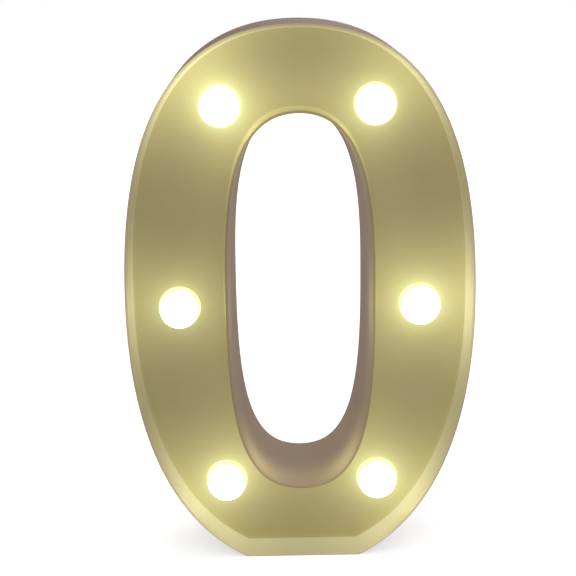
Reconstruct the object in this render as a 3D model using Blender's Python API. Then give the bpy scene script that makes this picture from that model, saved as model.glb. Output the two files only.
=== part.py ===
"""Light-up marquee number, run by two AA cells.

A moulded figure stands on the flat foot of its outline. Six frosted domes look out of its sunk
face, and each is lit by an LED in a holder behind it. The cells lie in a bay that is moulded into
the back cover, under a hinged door, with the slide switch above it. X runs across the front, -Y is
the side that is looked at, and Z is up. The origin is in the middle of the foot.
"""
import math

import bmesh
import bpy
from mathutils import Vector

MM = 0.001

# Clearances between pieces
SEAT_GAP = 0.3 * MM
FIT_GAP = 0.3 * MM
OVERRUN = 1.0 * MM
WELD = 0.5 * MM
MERGE_DISTANCE = 0.001 * MM

# Walls of the mouldings
WALL = 2.0 * MM
RIM_WIDTH = 1.2 * MM
RIM_EDGE = 0.35 * MM
CHANNEL_TAPER = 0.85 * MM
FACE_THICKNESS = 2.0 * MM
RECESS = 14.4 * MM
OUTER_DRAFT = 1.35 * MM
OPENING_DRAFT = 1.9 * MM

# Cells, and the bay that holds them
CELL_DIAMETER = 14.2 * MM
CELL_LENGTH = 49.2 * MM
CELL_SHOULDER = 0.8 * MM
CELL_NUB_DIAMETER = 5.3 * MM
CELL_NUB_LENGTH = 1.3 * MM
CELL_GAP = 0.4 * MM
CELL_HEADROOM = 0.4 * MM
BAY_WALL = 2.2 * MM
BAY_FLOOR = 1.5 * MM
BAY_RIB_WIDTH = 1.5 * MM
BAY_RIB_HEIGHT = 3.0 * MM
BAY_SINK = 2.0 * MM
BAY_SIDE_ROOM = 1.55 * MM

# Contacts and springs
CONTACT_THICKNESS = 0.4 * MM
CONTACT_WIDTH = 9.0 * MM
SOLDER_TAB_LENGTH = 3.0 * MM
SPRING_WIRE = 0.7 * MM
SPRING_LENGTH = 5.3 * MM
SPRING_FOOT_RADIUS = 4.2 * MM
SPRING_TIP_RADIUS = 2.8 * MM
SPRING_TURNS = 3.5
SPRING_STEPS = 8

# Back cover
COVER_THICKNESS = 2.0 * MM
COVER_RECESS = 1.5 * MM
KEYHOLE_ENTRY_DIAMETER = 5.6 * MM
KEYHOLE_SLOT_WIDTH = 3.0 * MM
KEYHOLE_LENGTH = 6.0 * MM
THUMB_NOTCH_RADIUS = 6.0 * MM
THUMB_NOTCH_DEPTH = 1.1 * MM

# Battery door
DOOR_LEDGE = 1.0 * MM
DOOR_CORNER_RADIUS = 1.5 * MM
DOOR_TAB_WIDTH = 4.5 * MM
DOOR_TAB_THICKNESS = 1.2 * MM
DOOR_TAB_REACH = 2.2 * MM
DOOR_TAB_ROOT = 1.4 * MM
DOOR_TAB_INSET = 3.2 * MM
DOOR_SWING_ROOM = 0.8 * MM
LATCH_WIDTH = 9.0 * MM
LATCH_THICKNESS = 1.0 * MM
LATCH_DEPTH = 3.0 * MM
LATCH_GAP = 0.5 * MM
LATCH_ROOM = 0.9 * MM

# Lamps
DOME_DIAMETER = 16.8 * MM
DOME_NECK_RISE = 1.5 * MM
DOME_WALL = 1.0 * MM
FLANGE_WIDTH = 1.8 * MM
FLANGE_THICKNESS = 1.2 * MM
COLLAR_WALL = 1.4 * MM
HOLDER_THICKNESS = 1.6 * MM
HOLDER_SPIGOT = 1.5 * MM
LED_DIAMETER = 5.0 * MM
LED_FLANGE_WIDTH = 0.4 * MM
LED_FLANGE_THICKNESS = 1.0 * MM
LED_LENGTH = 7.6 * MM
LEAD_LENGTH = 1.5 * MM
LEAD_WIDTH = 0.5 * MM
LEAD_PITCH = 2.54 * MM

# Wires and resistor
WIRE_DIAMETER = 1.2 * MM
WIRE_ROOM = 1.0 * MM
WIRE_POINT_SPACING = 11.0 * MM
WIRE_STRAIGHT = 3.0 * MM
FEED_ANGLE = 60.0
MIDDLE_SHARE = 0.5
RESISTOR_DIAMETER = 2.3 * MM
RESISTOR_LENGTH = 6.3 * MM
RESISTOR_LEAD_LENGTH = 2.0 * MM
RESISTOR_LEAD_DIAMETER = 0.6 * MM

# Switch
SWITCH_LENGTH = 10.0 * MM
SWITCH_WIDTH = 6.4 * MM
SWITCH_DEPTH = 5.5 * MM
SWITCH_SCREW_PITCH = 15.0 * MM
SWITCH_EAR_END = 2.2 * MM
SWITCH_EAR_THICKNESS = 0.6 * MM
SWITCH_ROOM = 18.0 * MM
SWITCH_TRAVEL = 2.6 * MM
SWITCH_PIN_LENGTH = 3.0 * MM
SWITCH_PIN_WIDTH = 0.6 * MM
SWITCH_PIN_DEPTH = 1.4 * MM
KNOB_LENGTH = 4.0 * MM
KNOB_WIDTH = 3.0 * MM
KNOB_RISE = 1.3 * MM
KNOB_SEAT_DEPTH = 1.5 * MM
KNOB_RIB_HEIGHT = 0.4 * MM
KNOB_RIBS = 5

# Screws and the posts that they turn into
SCREW_SHANK_DIAMETER = 2.4 * MM
SCREW_HEAD_DIAMETER = 4.6 * MM
SCREW_HEAD_HEIGHT = 1.5 * MM
SCREW_LENGTH = 8.0 * MM
COUNTERBORE_DEPTH = 1.0 * MM
POST_WALL = 1.7 * MM
POST_ROOM = 0.6 * MM
SMALL_SHANK_DIAMETER = 1.6 * MM
SMALL_HEAD_DIAMETER = 3.2 * MM
SMALL_HEAD_HEIGHT = 1.0 * MM
SMALL_SCREW_LENGTH = 4.5 * MM
HEAD_ROUND_SHARE = 0.75

# Fineness of round and curved pieces
LAMP_HOLE_SEGMENTS = 24
LAMP_SEGMENTS = 20
CELL_SEGMENTS = 20
HOLE_SEGMENTS = 12
SMALL_SEGMENTS = 10
DOME_STEPS = 5
HOLLOW_STEPS = 3
CORNER_STEPS = 3
KEYHOLE_SLOT_STEPS = 5
KEYHOLE_ENTRY_STEPS = 11
FLAT_ANGLE = 30.0
SMOOTH_ANGLE = 40.0

# Outline of the opening and of the figure, seen from the front. A quarter is a cubic curve, and
# its four shares say how far its handles reach: top, side above, side below and bottom.
OPENING_HALF_WIDTH = 28.9 * MM
OPENING_RISE = 77.5 * MM
OPENING_DROP = 75.7 * MM
OPENING_SINK = 2.1 * MM
OPENING_HANDLE_SHARES = (1.039, 0.389, 0.68, 0.80)
TOP_STROKE = 34.1 * MM
FOOT_STROKE = 31.3 * MM
FOOT_CUT = 5.7 * MM
OUTER_HANDLE_SHARES = (0.823, 0.511, 0.787, 0.387)
UPPER_STEPS = 15
LOWER_STEPS = 12
FOOT_STEPS = 2

# Places on the stroke: a ray from the middle of the figure in degrees above the right, and the
# share of the way from the opening to the outside. The upper posts stand just below the level of
# the switch, at their own share of that way.
LAMP_RAY_SHARES = (("upper", 68.3, 0.5), ("middle", -5.0, 0.5), ("lower", -68.3, 0.548))
POST_RAY_SHARES = (("top", 80.0, 0.69), ("lower", -41.8, 0.81), ("foot", -79.5, 0.66))
UPPER_POST_SHARE = 0.85

# Sizes that follow from those above
DOOR_THICKNESS = COVER_THICKNESS - SEAT_GAP
BAY_WIDTH = 2 * CELL_DIAMETER + 3 * CELL_GAP
CONTACT_ROOM = SEAT_GAP + CONTACT_THICKNESS + SEAT_GAP
BAY_LENGTH = 2 * CONTACT_ROOM + CELL_LENGTH + CELL_NUB_LENGTH + SPRING_LENGTH + SEAT_GAP
BAY_DEPTH = DOOR_THICKNESS + SEAT_GAP + CELL_HEADROOM + CELL_DIAMETER + SEAT_GAP
CONTACT_HEIGHT = BAY_DEPTH - SEAT_GAP - DOOR_THICKNESS - LATCH_DEPTH - LATCH_ROOM
TUB_WIDTH = BAY_WIDTH + 2 * BAY_WALL
STROKE = TUB_WIDTH + 2 * WALL + 2 * BAY_SIDE_ROOM
OUTER_HALF_WIDTH = OPENING_HALF_WIDTH + STROKE
OUTER_RISE = OPENING_RISE - OPENING_SINK + TOP_STROKE
WIDEST_Z = FOOT_STROKE + OPENING_DROP + OPENING_SINK
OUTER_DROP = WIDEST_Z + FOOT_CUT

DOME_RADIUS = DOME_DIAMETER / 2
FLANGE_RADIUS = DOME_RADIUS + FLANGE_WIDTH
HOLDER_FRONT = SEAT_GAP + FLANGE_THICKNESS + SEAT_GAP
HOLDER_BACK = HOLDER_FRONT + HOLDER_THICKNESS
LED_SEAT = HOLDER_BACK + SEAT_GAP
LEAD_TIP = LED_SEAT + LED_FLANGE_THICKNESS + LEAD_LENGTH
WIRE_LEVEL = LEAD_TIP + SEAT_GAP + WIRE_DIAMETER / 2

BODY_DEPTH = (RECESS + FACE_THICKNESS + WIRE_LEVEL + WIRE_DIAMETER / 2 + WIRE_ROOM
              + BAY_FLOOR + BAY_DEPTH + COVER_RECESS)
FRONT_Y = -BODY_DEPTH / 2
BACK_Y = BODY_DEPTH / 2
FACE_Y = FRONT_Y + RECESS
FACE_BACK_Y = FACE_Y + FACE_THICKNESS
COVER_Y = BACK_Y - COVER_RECESS
COVER_INNER_Y = COVER_Y - COVER_THICKNESS
BAY_FLOOR_Y = COVER_Y - BAY_DEPTH
CELL_Y = BAY_FLOOR_Y + SEAT_GAP + CELL_DIAMETER / 2

BAY_Z = WIDEST_Z - BAY_SINK
BAY_TOP_Z = BAY_Z + BAY_LENGTH / 2
BAY_BOTTOM_Z = BAY_Z - BAY_LENGTH / 2
DOOR_LENGTH = BAY_LENGTH + 2 * (DOOR_LEDGE - FIT_GAP)
DOOR_WIDTH = BAY_WIDTH + 2 * (DOOR_LEDGE - FIT_GAP)
HINGE_Z = BAY_Z - DOOR_LENGTH / 2
SWITCH_Z = BAY_TOP_Z + BAY_WALL + SWITCH_ROOM

SCREW_HOLE_RADIUS = SCREW_SHANK_DIAMETER / 2 + FIT_GAP
SMALL_HOLE_RADIUS = SMALL_SHANK_DIAMETER / 2 + FIT_GAP
POST_RADIUS = SCREW_HOLE_RADIUS + POST_WALL
POST_TOP_Y = COVER_INNER_Y - SEAT_GAP
UPPER_POST_Z = SWITCH_Z - SWITCH_WIDTH / 2 - POST_ROOM - POST_RADIUS


def material(name, colour, roughness, metallic=0.0, glow=0.0):
    """Plain finish of one kind of piece."""
    finish = bpy.data.materials.new(name)
    finish.use_nodes = True
    shader = finish.node_tree.nodes["Principled BSDF"]
    shader.inputs["Base Color"].default_value = (*colour, 1.0)
    shader.inputs["Roughness"].default_value = roughness
    shader.inputs["Metallic"].default_value = metallic
    shader.inputs["Emission Color"].default_value = (*colour, 1.0)
    shader.inputs["Emission Strength"].default_value = glow
    return finish


def add_object(name, mesh, finish, place=(0.0, 0.0, 0.0), parent=None):
    """Puts a mesh into the scene as a named piece."""
    piece = bpy.data.objects.new(name, mesh)
    bpy.context.scene.collection.objects.link(piece)
    piece.location = place
    piece.parent = parent
    if finish is not None:
        mesh.materials.append(finish)
    return piece


def add_place(name, location, turn=0.0):
    """Empty that carries the pieces of one station, turned about Y."""
    place = bpy.data.objects.new(name, None)
    bpy.context.scene.collection.objects.link(place)
    place.location = location
    place.rotation_euler = (0.0, turn, 0.0)
    return place


def as_guide(piece):
    """Marks a piece that only adds to another, or cuts it."""
    piece.hide_render = True
    piece.display_type = "WIRE"
    return piece


def combine(body, operation, guides):
    """Adds the guides to a body, or cuts them out of it, all in one step."""
    group = bpy.data.collections.new(body.name + "_" + operation.lower())
    for guide in guides:
        group.objects.link(as_guide(guide))
    step = body.modifiers.new(group.name, "BOOLEAN")
    step.operation = operation
    step.operand_type = "COLLECTION"
    step.collection = group
    step.solver = "EXACT"


def finish_mesh(bm, name, smooth_angle=None):
    """Closes a mesh, turns its faces outward and shades its round parts smooth."""
    bmesh.ops.remove_doubles(bm, verts=bm.verts, dist=MERGE_DISTANCE)
    bmesh.ops.recalc_face_normals(bm, faces=bm.faces)
    mesh = bpy.data.meshes.new(name)
    bm.to_mesh(mesh)
    bm.free()
    if smooth_angle is not None:
        mesh.shade_smooth()
        mesh.set_sharp_from_angle(angle=smooth_angle)
    return mesh


def turned_mesh(name, profile, segments):
    """Solid of revolution about Y: the profile lists (radius, y) and closes on itself."""
    bm = bmesh.new()
    corners = [bm.verts.new((radius, y, 0.0)) for radius, y in profile]
    edges = [bm.edges.new((a, b)) for a, b in zip(corners, corners[1:])]
    if profile[0][0] > 0 or profile[-1][0] > 0:
        edges.append(bm.edges.new((corners[-1], corners[0])))
    bmesh.ops.spin(bm, geom=corners + edges, cent=(0, 0, 0), axis=(0, 1, 0),
                   angle=2 * math.pi, steps=segments, use_merge=True)
    return finish_mesh(bm, name, math.radians(SMOOTH_ANGLE))


def cylinder_mesh(name, radius, front, back, segments):
    """Plain cylinder along Y from front to back."""
    return turned_mesh(name, [(0.0, front), (radius, front), (radius, back), (0.0, back)], segments)


def box_mesh(name, low, high):
    """Block between two opposite corners."""
    bm = bmesh.new()
    bmesh.ops.create_cube(bm, size=1.0)
    for corner in bm.verts:
        corner.co = [lo if c < 0 else hi for c, lo, hi in zip(corner.co, low, high)]
    return finish_mesh(bm, name)


def drawn_mesh(name, corners, travel):
    """Solid swept by a flat outline that is drawn along a straight line."""
    bm = bmesh.new()
    face = bm.faces.new([bm.verts.new(corner) for corner in corners])
    drawn = bmesh.ops.extrude_face_region(bm, geom=[face])
    moved = [item for item in drawn["geom"] if isinstance(item, bmesh.types.BMVert)]
    bmesh.ops.translate(bm, verts=moved, vec=travel)
    return finish_mesh(bm, name)


def slab_mesh(name, points, front, back):
    """Flat plate: a closed outline (x, z) drawn along Y from front to back."""
    return drawn_mesh(name, [(x, front, z) for x, z in points], (0.0, back - front, 0.0))


def arc(centre, radius, start, end, steps):
    """Points (x, z) along an arc, angles in degrees."""
    angles = [math.radians(start + (end - start) * step / steps) for step in range(steps + 1)]
    return [(centre[0] + radius * math.cos(a), centre[1] + radius * math.sin(a)) for a in angles]


def rounded_rectangle(half_width, low, high, radius):
    """Outline (x, z) of a plate with round corners."""
    side = half_width - radius
    return (arc((side, low + radius), radius, -90, 0, CORNER_STEPS)
            + arc((side, high - radius), radius, 0, 90, CORNER_STEPS)
            + arc((-side, high - radius), radius, 90, 180, CORNER_STEPS)
            + arc((-side, low + radius), radius, 180, 270, CORNER_STEPS))


def outline(half_width, rise, drop, widest_z, handle_shares):
    """Right half of an outline as two cubic quarters, both drawn from the widest point."""
    top, side_above, side_below, bottom = handle_shares
    widest = Vector((half_width, widest_z))
    upper = (widest, widest + Vector((0, side_above * rise)),
             Vector((top * half_width, widest_z + rise)), Vector((0, widest_z + rise)))
    lower = (widest, widest - Vector((0, side_below * drop)),
             Vector((bottom * half_width, widest_z - drop)), Vector((0, widest_z - drop)))
    return upper, lower


OUTER = outline(OUTER_HALF_WIDTH, OUTER_RISE, OUTER_DROP, WIDEST_Z, OUTER_HANDLE_SHARES)
OPENING = outline(OPENING_HALF_WIDTH, OPENING_RISE, OPENING_DROP, WIDEST_Z - OPENING_SINK,
                  OPENING_HANDLE_SHARES)


def quarter_point(quarter, side, offset, t):
    """Point at t on a quarter, moved out along its normal. Side is 1 above and -1 below."""
    a, b, c, d = quarter
    u = 1 - t
    point = a * u**3 + b * (3 * t * u**2) + c * (3 * t**2 * u) + d * t**3
    tangent = ((b - a) * u**2 + (c - b) * (2 * t * u) + (d - c) * t**2).normalized()
    return point + Vector((tangent.y, -tangent.x)) * (side * offset)


def level_crossing(quarter, side, offset, level):
    """The t at which a quarter passes a level, found by halving."""
    low, high = 0.0, 1.0
    for _ in range(40):
        middle = (low + high) / 2
        if (quarter_point(quarter, side, offset, middle).y - level) * side < 0:
            low = middle
        else:
            high = middle
    return low


def outline_loop(line, offset, foot=None):
    """Closed loop (x, z) at an offset from an outline, cut level at the foot where one is given."""
    upper, lower = line
    points = []
    cut = 1.0
    steps = FOOT_STEPS + LOWER_STEPS
    if foot is not None:
        steps = LOWER_STEPS
        cut = level_crossing(lower, -1, offset, foot)
        corner = quarter_point(lower, -1, offset, cut)
        points = [Vector((corner.x * step / FOOT_STEPS, foot)) for step in range(FOOT_STEPS)]
    points += [quarter_point(lower, -1, offset, cut * (1 - step / steps)) for step in range(steps)]
    points += [quarter_point(upper, 1, offset, step / UPPER_STEPS) for step in range(UPPER_STEPS + 1)]
    return points + [Vector((-point.x, point.y)) for point in reversed(points[1:-1])]


def half_width_at(line, level):
    """Half the width of an outline at a level."""
    upper, lower = line
    quarter, side = (upper, 1) if level > upper[0].y else (lower, -1)
    return quarter_point(quarter, side, 0.0, level_crossing(quarter, side, 0.0, level)).x


def reach(line, angle, foot=None):
    """Distance from the middle of the figure to an outline, along a ray."""
    ray = Vector((math.cos(angle), math.sin(angle)))
    across = Vector((-ray.y, ray.x))
    points = [point - Vector((0, WIDEST_Z)) for point in outline_loop(line, 0.0, foot)]
    for a, b in zip(points, points[1:] + points[:1]):
        side_a, side_b = a.dot(across), b.dot(across)
        if side_a <= 0 < side_b:
            return a.lerp(b, side_a / (side_a - side_b)).dot(ray)
    raise ValueError("the outline does not go round the middle")


def stroke_place(degrees, share):
    """Point (x, z) on a ray, at a share of the way from the opening to the outside."""
    angle = math.radians(degrees)
    near = reach(OPENING, angle)
    far = reach(OUTER, angle, 0.0)
    distance = near + (far - near) * share
    return Vector((distance * math.cos(angle), WIDEST_Z + distance * math.sin(angle)))


def outer_draft(y):
    """How far the outside has spread at a depth."""
    return OUTER_DRAFT * (y - FRONT_Y) / BODY_DEPTH


def opening_draft(y):
    """How far the opening has closed in at a depth."""
    return OPENING_DRAFT * (y - FRONT_Y) / BODY_DEPTH


def ring_mesh(name, rows):
    """Closed ring: each row is a loop (line, offset, foot, y), and the last row meets the first."""
    loops = [[(point.x, y, point.y) for point in outline_loop(line, offset, foot)]
             for line, offset, foot, y in rows]
    stations = len(loops[0])
    bm = bmesh.new()
    rings = [[bm.verts.new(place) for place in loop] for loop in loops]
    for ring, following in zip(rings, rings[1:] + rings[:1]):
        for j in range(stations):
            k = (j + 1) % stations
            bm.faces.new((ring[j], ring[k], following[k], following[j]))
    return finish_mesh(bm, name, math.radians(FLAT_ANGLE))


def level_place(level, share):
    """Point (x, z) at a level, at a share of the way from the opening to the outside."""
    near = half_width_at(OPENING, level)
    return Vector((near + (half_width_at(OUTER, level) - near) * share, level))


def paired_places(rights):
    """Name and place (x, z) of each piece of a set that stands on both sides of the figure."""
    places = {}
    for row, right in rights.items():
        places[row + "_right"] = right
        places[row + "_left"] = Vector((-right.x, right.y))
    return places


def ray_places(ray_shares):
    """Places on the right side of the pieces that stand on rays, by row."""
    return {row: stroke_place(degrees, share) for row, degrees, share in ray_shares}


LAMPS = paired_places(ray_places(LAMP_RAY_SHARES))
POSTS = paired_places({**ray_places(POST_RAY_SHARES),
                       "upper": level_place(UPPER_POST_Z, UPPER_POST_SHARE)})
BAY_X = (half_width_at(OUTER, BAY_TOP_Z) + outer_draft(BAY_FLOOR_Y)
         + OPENING_HALF_WIDTH - opening_draft(BAY_FLOOR_Y)) / 2
SWITCH_X = (half_width_at(OUTER, SWITCH_Z) + half_width_at(OPENING, SWITCH_Z)) / 2


def make_front_shell(finish):
    """Figure with its two walls, the sunk face between them, and all that is moulded behind it."""
    edge_y = FRONT_Y + RIM_EDGE
    face_wall = RIM_WIDTH + CHANNEL_TAPER
    rows = [
        (OUTER, -RIM_EDGE, RIM_EDGE, FRONT_Y),
        (OUTER, outer_draft(edge_y), 0.0, edge_y),
        (OUTER, OUTER_DRAFT, 0.0, BACK_Y),
        (OUTER, OUTER_DRAFT - WALL, WALL, BACK_Y),
        (OUTER, outer_draft(FACE_BACK_Y) - WALL, WALL, FACE_BACK_Y),
        (OPENING, WALL - opening_draft(FACE_BACK_Y), None, FACE_BACK_Y),
        (OPENING, WALL - OPENING_DRAFT, None, BACK_Y),
        (OPENING, -OPENING_DRAFT, None, BACK_Y),
        (OPENING, -opening_draft(edge_y), None, edge_y),
        (OPENING, RIM_EDGE, None, FRONT_Y),
        (OPENING, RIM_WIDTH - RIM_EDGE, None, FRONT_Y),
        (OPENING, RIM_WIDTH, None, edge_y),
        (OPENING, face_wall, None, FACE_Y),
        (OUTER, -face_wall, face_wall, FACE_Y),
        (OUTER, -RIM_WIDTH, RIM_WIDTH, edge_y),
        (OUTER, RIM_EDGE - RIM_WIDTH, RIM_WIDTH - RIM_EDGE, FRONT_Y),
    ]
    shell = add_object("front_shell", ring_mesh("front_shell", rows), finish)

    collar_bore = FLANGE_RADIUS + FIT_GAP
    collar_edge = collar_bore + COLLAR_WALL
    collar = turned_mesh("collar", [(collar_bore, -WELD), (collar_edge, -WELD),
                                    (collar_edge, HOLDER_BACK), (collar_bore, HOLDER_BACK)],
                         LAMP_SEGMENTS)
    hole = cylinder_mesh("lamp_hole", DOME_RADIUS + FIT_GAP, -FACE_THICKNESS - OVERRUN, OVERRUN,
                         LAMP_HOLE_SEGMENTS)
    post_depth = POST_TOP_Y - FACE_BACK_Y
    pilot = post_depth - SCREW_LENGTH - OVERRUN
    post = turned_mesh("post", [(0.0, -WELD), (POST_RADIUS, -WELD), (POST_RADIUS, post_depth),
                                (SCREW_HOLE_RADIUS, post_depth), (SCREW_HOLE_RADIUS, pilot),
                                (0.0, pilot)], HOLE_SEGMENTS)
    collars = [add_object("collar_" + name, collar, None, (spot.x, FACE_BACK_Y, spot.y))
               for name, spot in LAMPS.items()]
    posts = [add_object("post_" + name, post, None, (spot.x, FACE_BACK_Y, spot.y))
             for name, spot in POSTS.items()]
    holes = [add_object("lamp_hole_" + name, hole, None, (spot.x, FACE_BACK_Y, spot.y))
             for name, spot in LAMPS.items()]
    combine(shell, "UNION", collars + posts)
    combine(shell, "DIFFERENCE", holes)


def make_back_cover(finish):
    """Plate that closes the back, with the battery bay moulded in as a tub."""
    edge = WALL + FIT_GAP
    rows = [
        (OUTER, outer_draft(COVER_Y) - edge, edge, COVER_Y),
        (OUTER, outer_draft(COVER_INNER_Y) - edge, edge, COVER_INNER_Y),
        (OPENING, edge - opening_draft(COVER_INNER_Y), None, COVER_INNER_Y),
        (OPENING, edge - opening_draft(COVER_Y), None, COVER_Y),
    ]
    cover = add_object("back_cover", ring_mesh("back_cover", rows), finish)

    half_bay = BAY_WIDTH / 2
    tub_low = (BAY_X - TUB_WIDTH / 2, BAY_FLOOR_Y - BAY_FLOOR, BAY_BOTTOM_Z - BAY_WALL)
    tub_high = (BAY_X + TUB_WIDTH / 2, COVER_Y - WELD, BAY_TOP_Z + BAY_WALL)
    tub = add_object("tub", box_mesh("tub", tub_low, tub_high), None)
    combine(cover, "UNION", [tub])

    mouth_points = rounded_rectangle(DOOR_WIDTH / 2 + FIT_GAP, HINGE_Z - FIT_GAP,
                                     HINGE_Z + DOOR_LENGTH + FIT_GAP, DOOR_CORNER_RADIUS + FIT_GAP)
    mouth = add_object("door_mouth", slab_mesh("door_mouth", mouth_points, COVER_INNER_Y,
                                               COVER_Y + OVERRUN), None, (BAY_X, 0.0, 0.0))
    hollow_low = (BAY_X - half_bay, BAY_FLOOR_Y, BAY_BOTTOM_Z)
    hollow_high = (BAY_X + half_bay, COVER_Y, BAY_TOP_Z)
    hollow = add_object("bay_hollow", box_mesh("bay_hollow", hollow_low, hollow_high), None)
    notch = add_object("thumb_notch", cylinder_mesh("thumb_notch", THUMB_NOTCH_RADIUS,
                                                    -THUMB_NOTCH_DEPTH, OVERRUN, LAMP_SEGMENTS),
                       None, (BAY_X, COVER_Y, HINGE_Z + DOOR_LENGTH))
    cuts = [mouth, hollow, notch] + tab_slots() + contact_slots() + switch_cuts() + screw_cuts()
    cuts.append(keyhole_cut())
    combine(cover, "DIFFERENCE", cuts)

    rib_low = (BAY_X - BAY_RIB_WIDTH / 2, BAY_FLOOR_Y - WELD, BAY_BOTTOM_Z + CONTACT_ROOM)
    rib_high = (BAY_X + BAY_RIB_WIDTH / 2, BAY_FLOOR_Y + BAY_RIB_HEIGHT, BAY_TOP_Z - CONTACT_ROOM)
    combine(cover, "UNION", [add_object("bay_rib", box_mesh("bay_rib", rib_low, rib_high), None)])


def door_tab_places():
    """Places of the two door tabs across the door."""
    inset = DOOR_WIDTH / 2 - DOOR_TAB_INSET
    return (-inset, inset)


def tab_slots():
    """Slots under the lower edge of the bay, in which the door's tabs swing."""
    slots = []
    depth = COVER_THICKNESS + FIT_GAP + DOOR_TAB_THICKNESS + DOOR_SWING_ROOM
    for number, x in enumerate(door_tab_places(), 1):
        half = DOOR_TAB_WIDTH / 2 + FIT_GAP
        through = box_mesh("tab_slot", (-half, -depth, BAY_BOTTOM_Z - BAY_WALL - OVERRUN - HINGE_Z),
                           (half, -COVER_THICKNESS - FIT_GAP / 2, BAY_BOTTOM_Z + OVERRUN - HINGE_Z))
        notch = box_mesh("tab_notch", (-half, -depth, -FIT_GAP / 2),
                         (half, -DOOR_THICKNESS, BAY_BOTTOM_Z + OVERRUN - HINGE_Z))
        place = (BAY_X + x, COVER_Y, HINGE_Z)
        slots.append(add_object("tab_slot_%d" % number, through, None, place))
        slots.append(add_object("tab_notch_%d" % number, notch, None, place))
    return slots


def contact_slots():
    """Slots in the upper end of the bay for the solder tabs."""
    slots = []
    half = CONTACT_WIDTH / 2 + FIT_GAP
    low_y = BAY_FLOOR_Y
    high_y = BAY_FLOOR_Y + SEAT_GAP + CONTACT_THICKNESS + FIT_GAP
    mesh = box_mesh("contact_slot", (-half, low_y, BAY_TOP_Z - OVERRUN),
                    (half, high_y, BAY_TOP_Z + BAY_WALL + OVERRUN))
    for side in (-1, 1):
        slots.append(add_object("contact_slot", mesh, None, (cell_x(side), 0.0, 0.0)))
    return slots


def switch_cuts():
    """Slot for the switch knob and holes for the two switch screws."""
    half_length = KNOB_LENGTH / 2 + SWITCH_TRAVEL / 2 + FIT_GAP
    half_width = KNOB_WIDTH / 2 + FIT_GAP
    slot = box_mesh("knob_slot", (-half_length, COVER_INNER_Y - OVERRUN, -half_width),
                    (half_length, COVER_Y + OVERRUN, half_width))
    hole = cylinder_mesh("switch_screw_hole", SMALL_HOLE_RADIUS,
                         COVER_INNER_Y - OVERRUN, COVER_Y + OVERRUN, HOLE_SEGMENTS)
    cuts = [add_object("knob_slot", slot, None, (SWITCH_X, 0.0, SWITCH_Z))]
    for x in switch_screw_places():
        cuts.append(add_object("switch_screw_hole", hole, None, (x, 0.0, SWITCH_Z)))
    return cuts


def switch_screw_places():
    """Places of the two switch screws across the figure."""
    return (SWITCH_X - SWITCH_SCREW_PITCH / 2, SWITCH_X + SWITCH_SCREW_PITCH / 2)


def screw_cuts():
    """Stepped holes for the cover screws."""
    bore = SCREW_HEAD_DIAMETER / 2 + FIT_GAP
    seat = -COUNTERBORE_DEPTH
    hole = turned_mesh("cover_screw_hole", [
        (0.0, -COVER_THICKNESS - OVERRUN), (SCREW_HOLE_RADIUS, -COVER_THICKNESS - OVERRUN),
        (SCREW_HOLE_RADIUS, seat), (bore, seat), (bore, OVERRUN), (0.0, OVERRUN)], HOLE_SEGMENTS)
    return [add_object("cover_screw_hole_" + name, hole, None, (spot.x, COVER_Y, spot.y))
            for name, spot in POSTS.items()]


def keyhole_cut():
    """Hanging keyhole at the top of the cover: a round entry with a slot above it.

    Its arcs have odd counts of steps, so that no corner of it lies on the cover's middle line.
    """
    spot = stroke_place(90.0, MIDDLE_SHARE)
    entry = KEYHOLE_ENTRY_DIAMETER / 2
    half_slot = KEYHOLE_SLOT_WIDTH / 2
    opening = math.degrees(math.asin(half_slot / entry))
    points = (arc((0.0, 0.0), half_slot, 0, 180, KEYHOLE_SLOT_STEPS)
              + arc((0.0, -KEYHOLE_LENGTH), entry, 90 + opening, 450 - opening,
                    KEYHOLE_ENTRY_STEPS))
    return add_object("keyhole", slab_mesh("keyhole", points, COVER_INNER_Y - OVERRUN,
                                           COVER_Y + OVERRUN), None, (spot.x, 0.0, spot.y))


def make_battery_door(finish):
    """Door with two hinge tabs at its lower edge and a latch leaf at its upper one."""
    points = rounded_rectangle(DOOR_WIDTH / 2, 0.0, DOOR_LENGTH, DOOR_CORNER_RADIUS)
    door = add_object("battery_door", slab_mesh("battery_door", points, -DOOR_THICKNESS, 0.0),
                      finish, (BAY_X, COVER_Y, HINGE_Z))
    tab_back = -COVER_THICKNESS - FIT_GAP
    tab_front = tab_back - DOOR_TAB_THICKNESS
    tab = box_mesh("door_tab", (-DOOR_TAB_WIDTH / 2, tab_front, -DOOR_TAB_REACH),
                   (DOOR_TAB_WIDTH / 2, tab_back, DOOR_TAB_ROOT))
    root = box_mesh("door_tab_root", (-DOOR_TAB_WIDTH / 2, tab_back - WELD, FIT_GAP),
                    (DOOR_TAB_WIDTH / 2, -DOOR_THICKNESS + WELD, DOOR_TAB_ROOT))
    parts = []
    for x in door_tab_places():
        parts.append(add_object("door_tab", tab, None, (x, 0.0, 0.0), door))
        parts.append(add_object("door_tab_root", root, None, (x, 0.0, 0.0), door))
    latch_edge = DOOR_LENGTH - (DOOR_LEDGE - FIT_GAP) - LATCH_GAP
    leaf_low = (-LATCH_WIDTH / 2, -DOOR_THICKNESS - LATCH_DEPTH, latch_edge - LATCH_THICKNESS)
    leaf_high = (LATCH_WIDTH / 2, -DOOR_THICKNESS + WELD, latch_edge)
    leaf = box_mesh("latch_leaf", leaf_low, leaf_high)
    parts.append(add_object("latch_leaf", leaf, None, (0.0, 0.0, 0.0), door))
    combine(door, "UNION", parts)


def cell_x(side):
    """Place of a cell across the figure: side is 1 for the outer cell and -1 for the inner one."""
    return BAY_X + side * (CELL_DIAMETER + CELL_GAP) / 2


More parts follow.
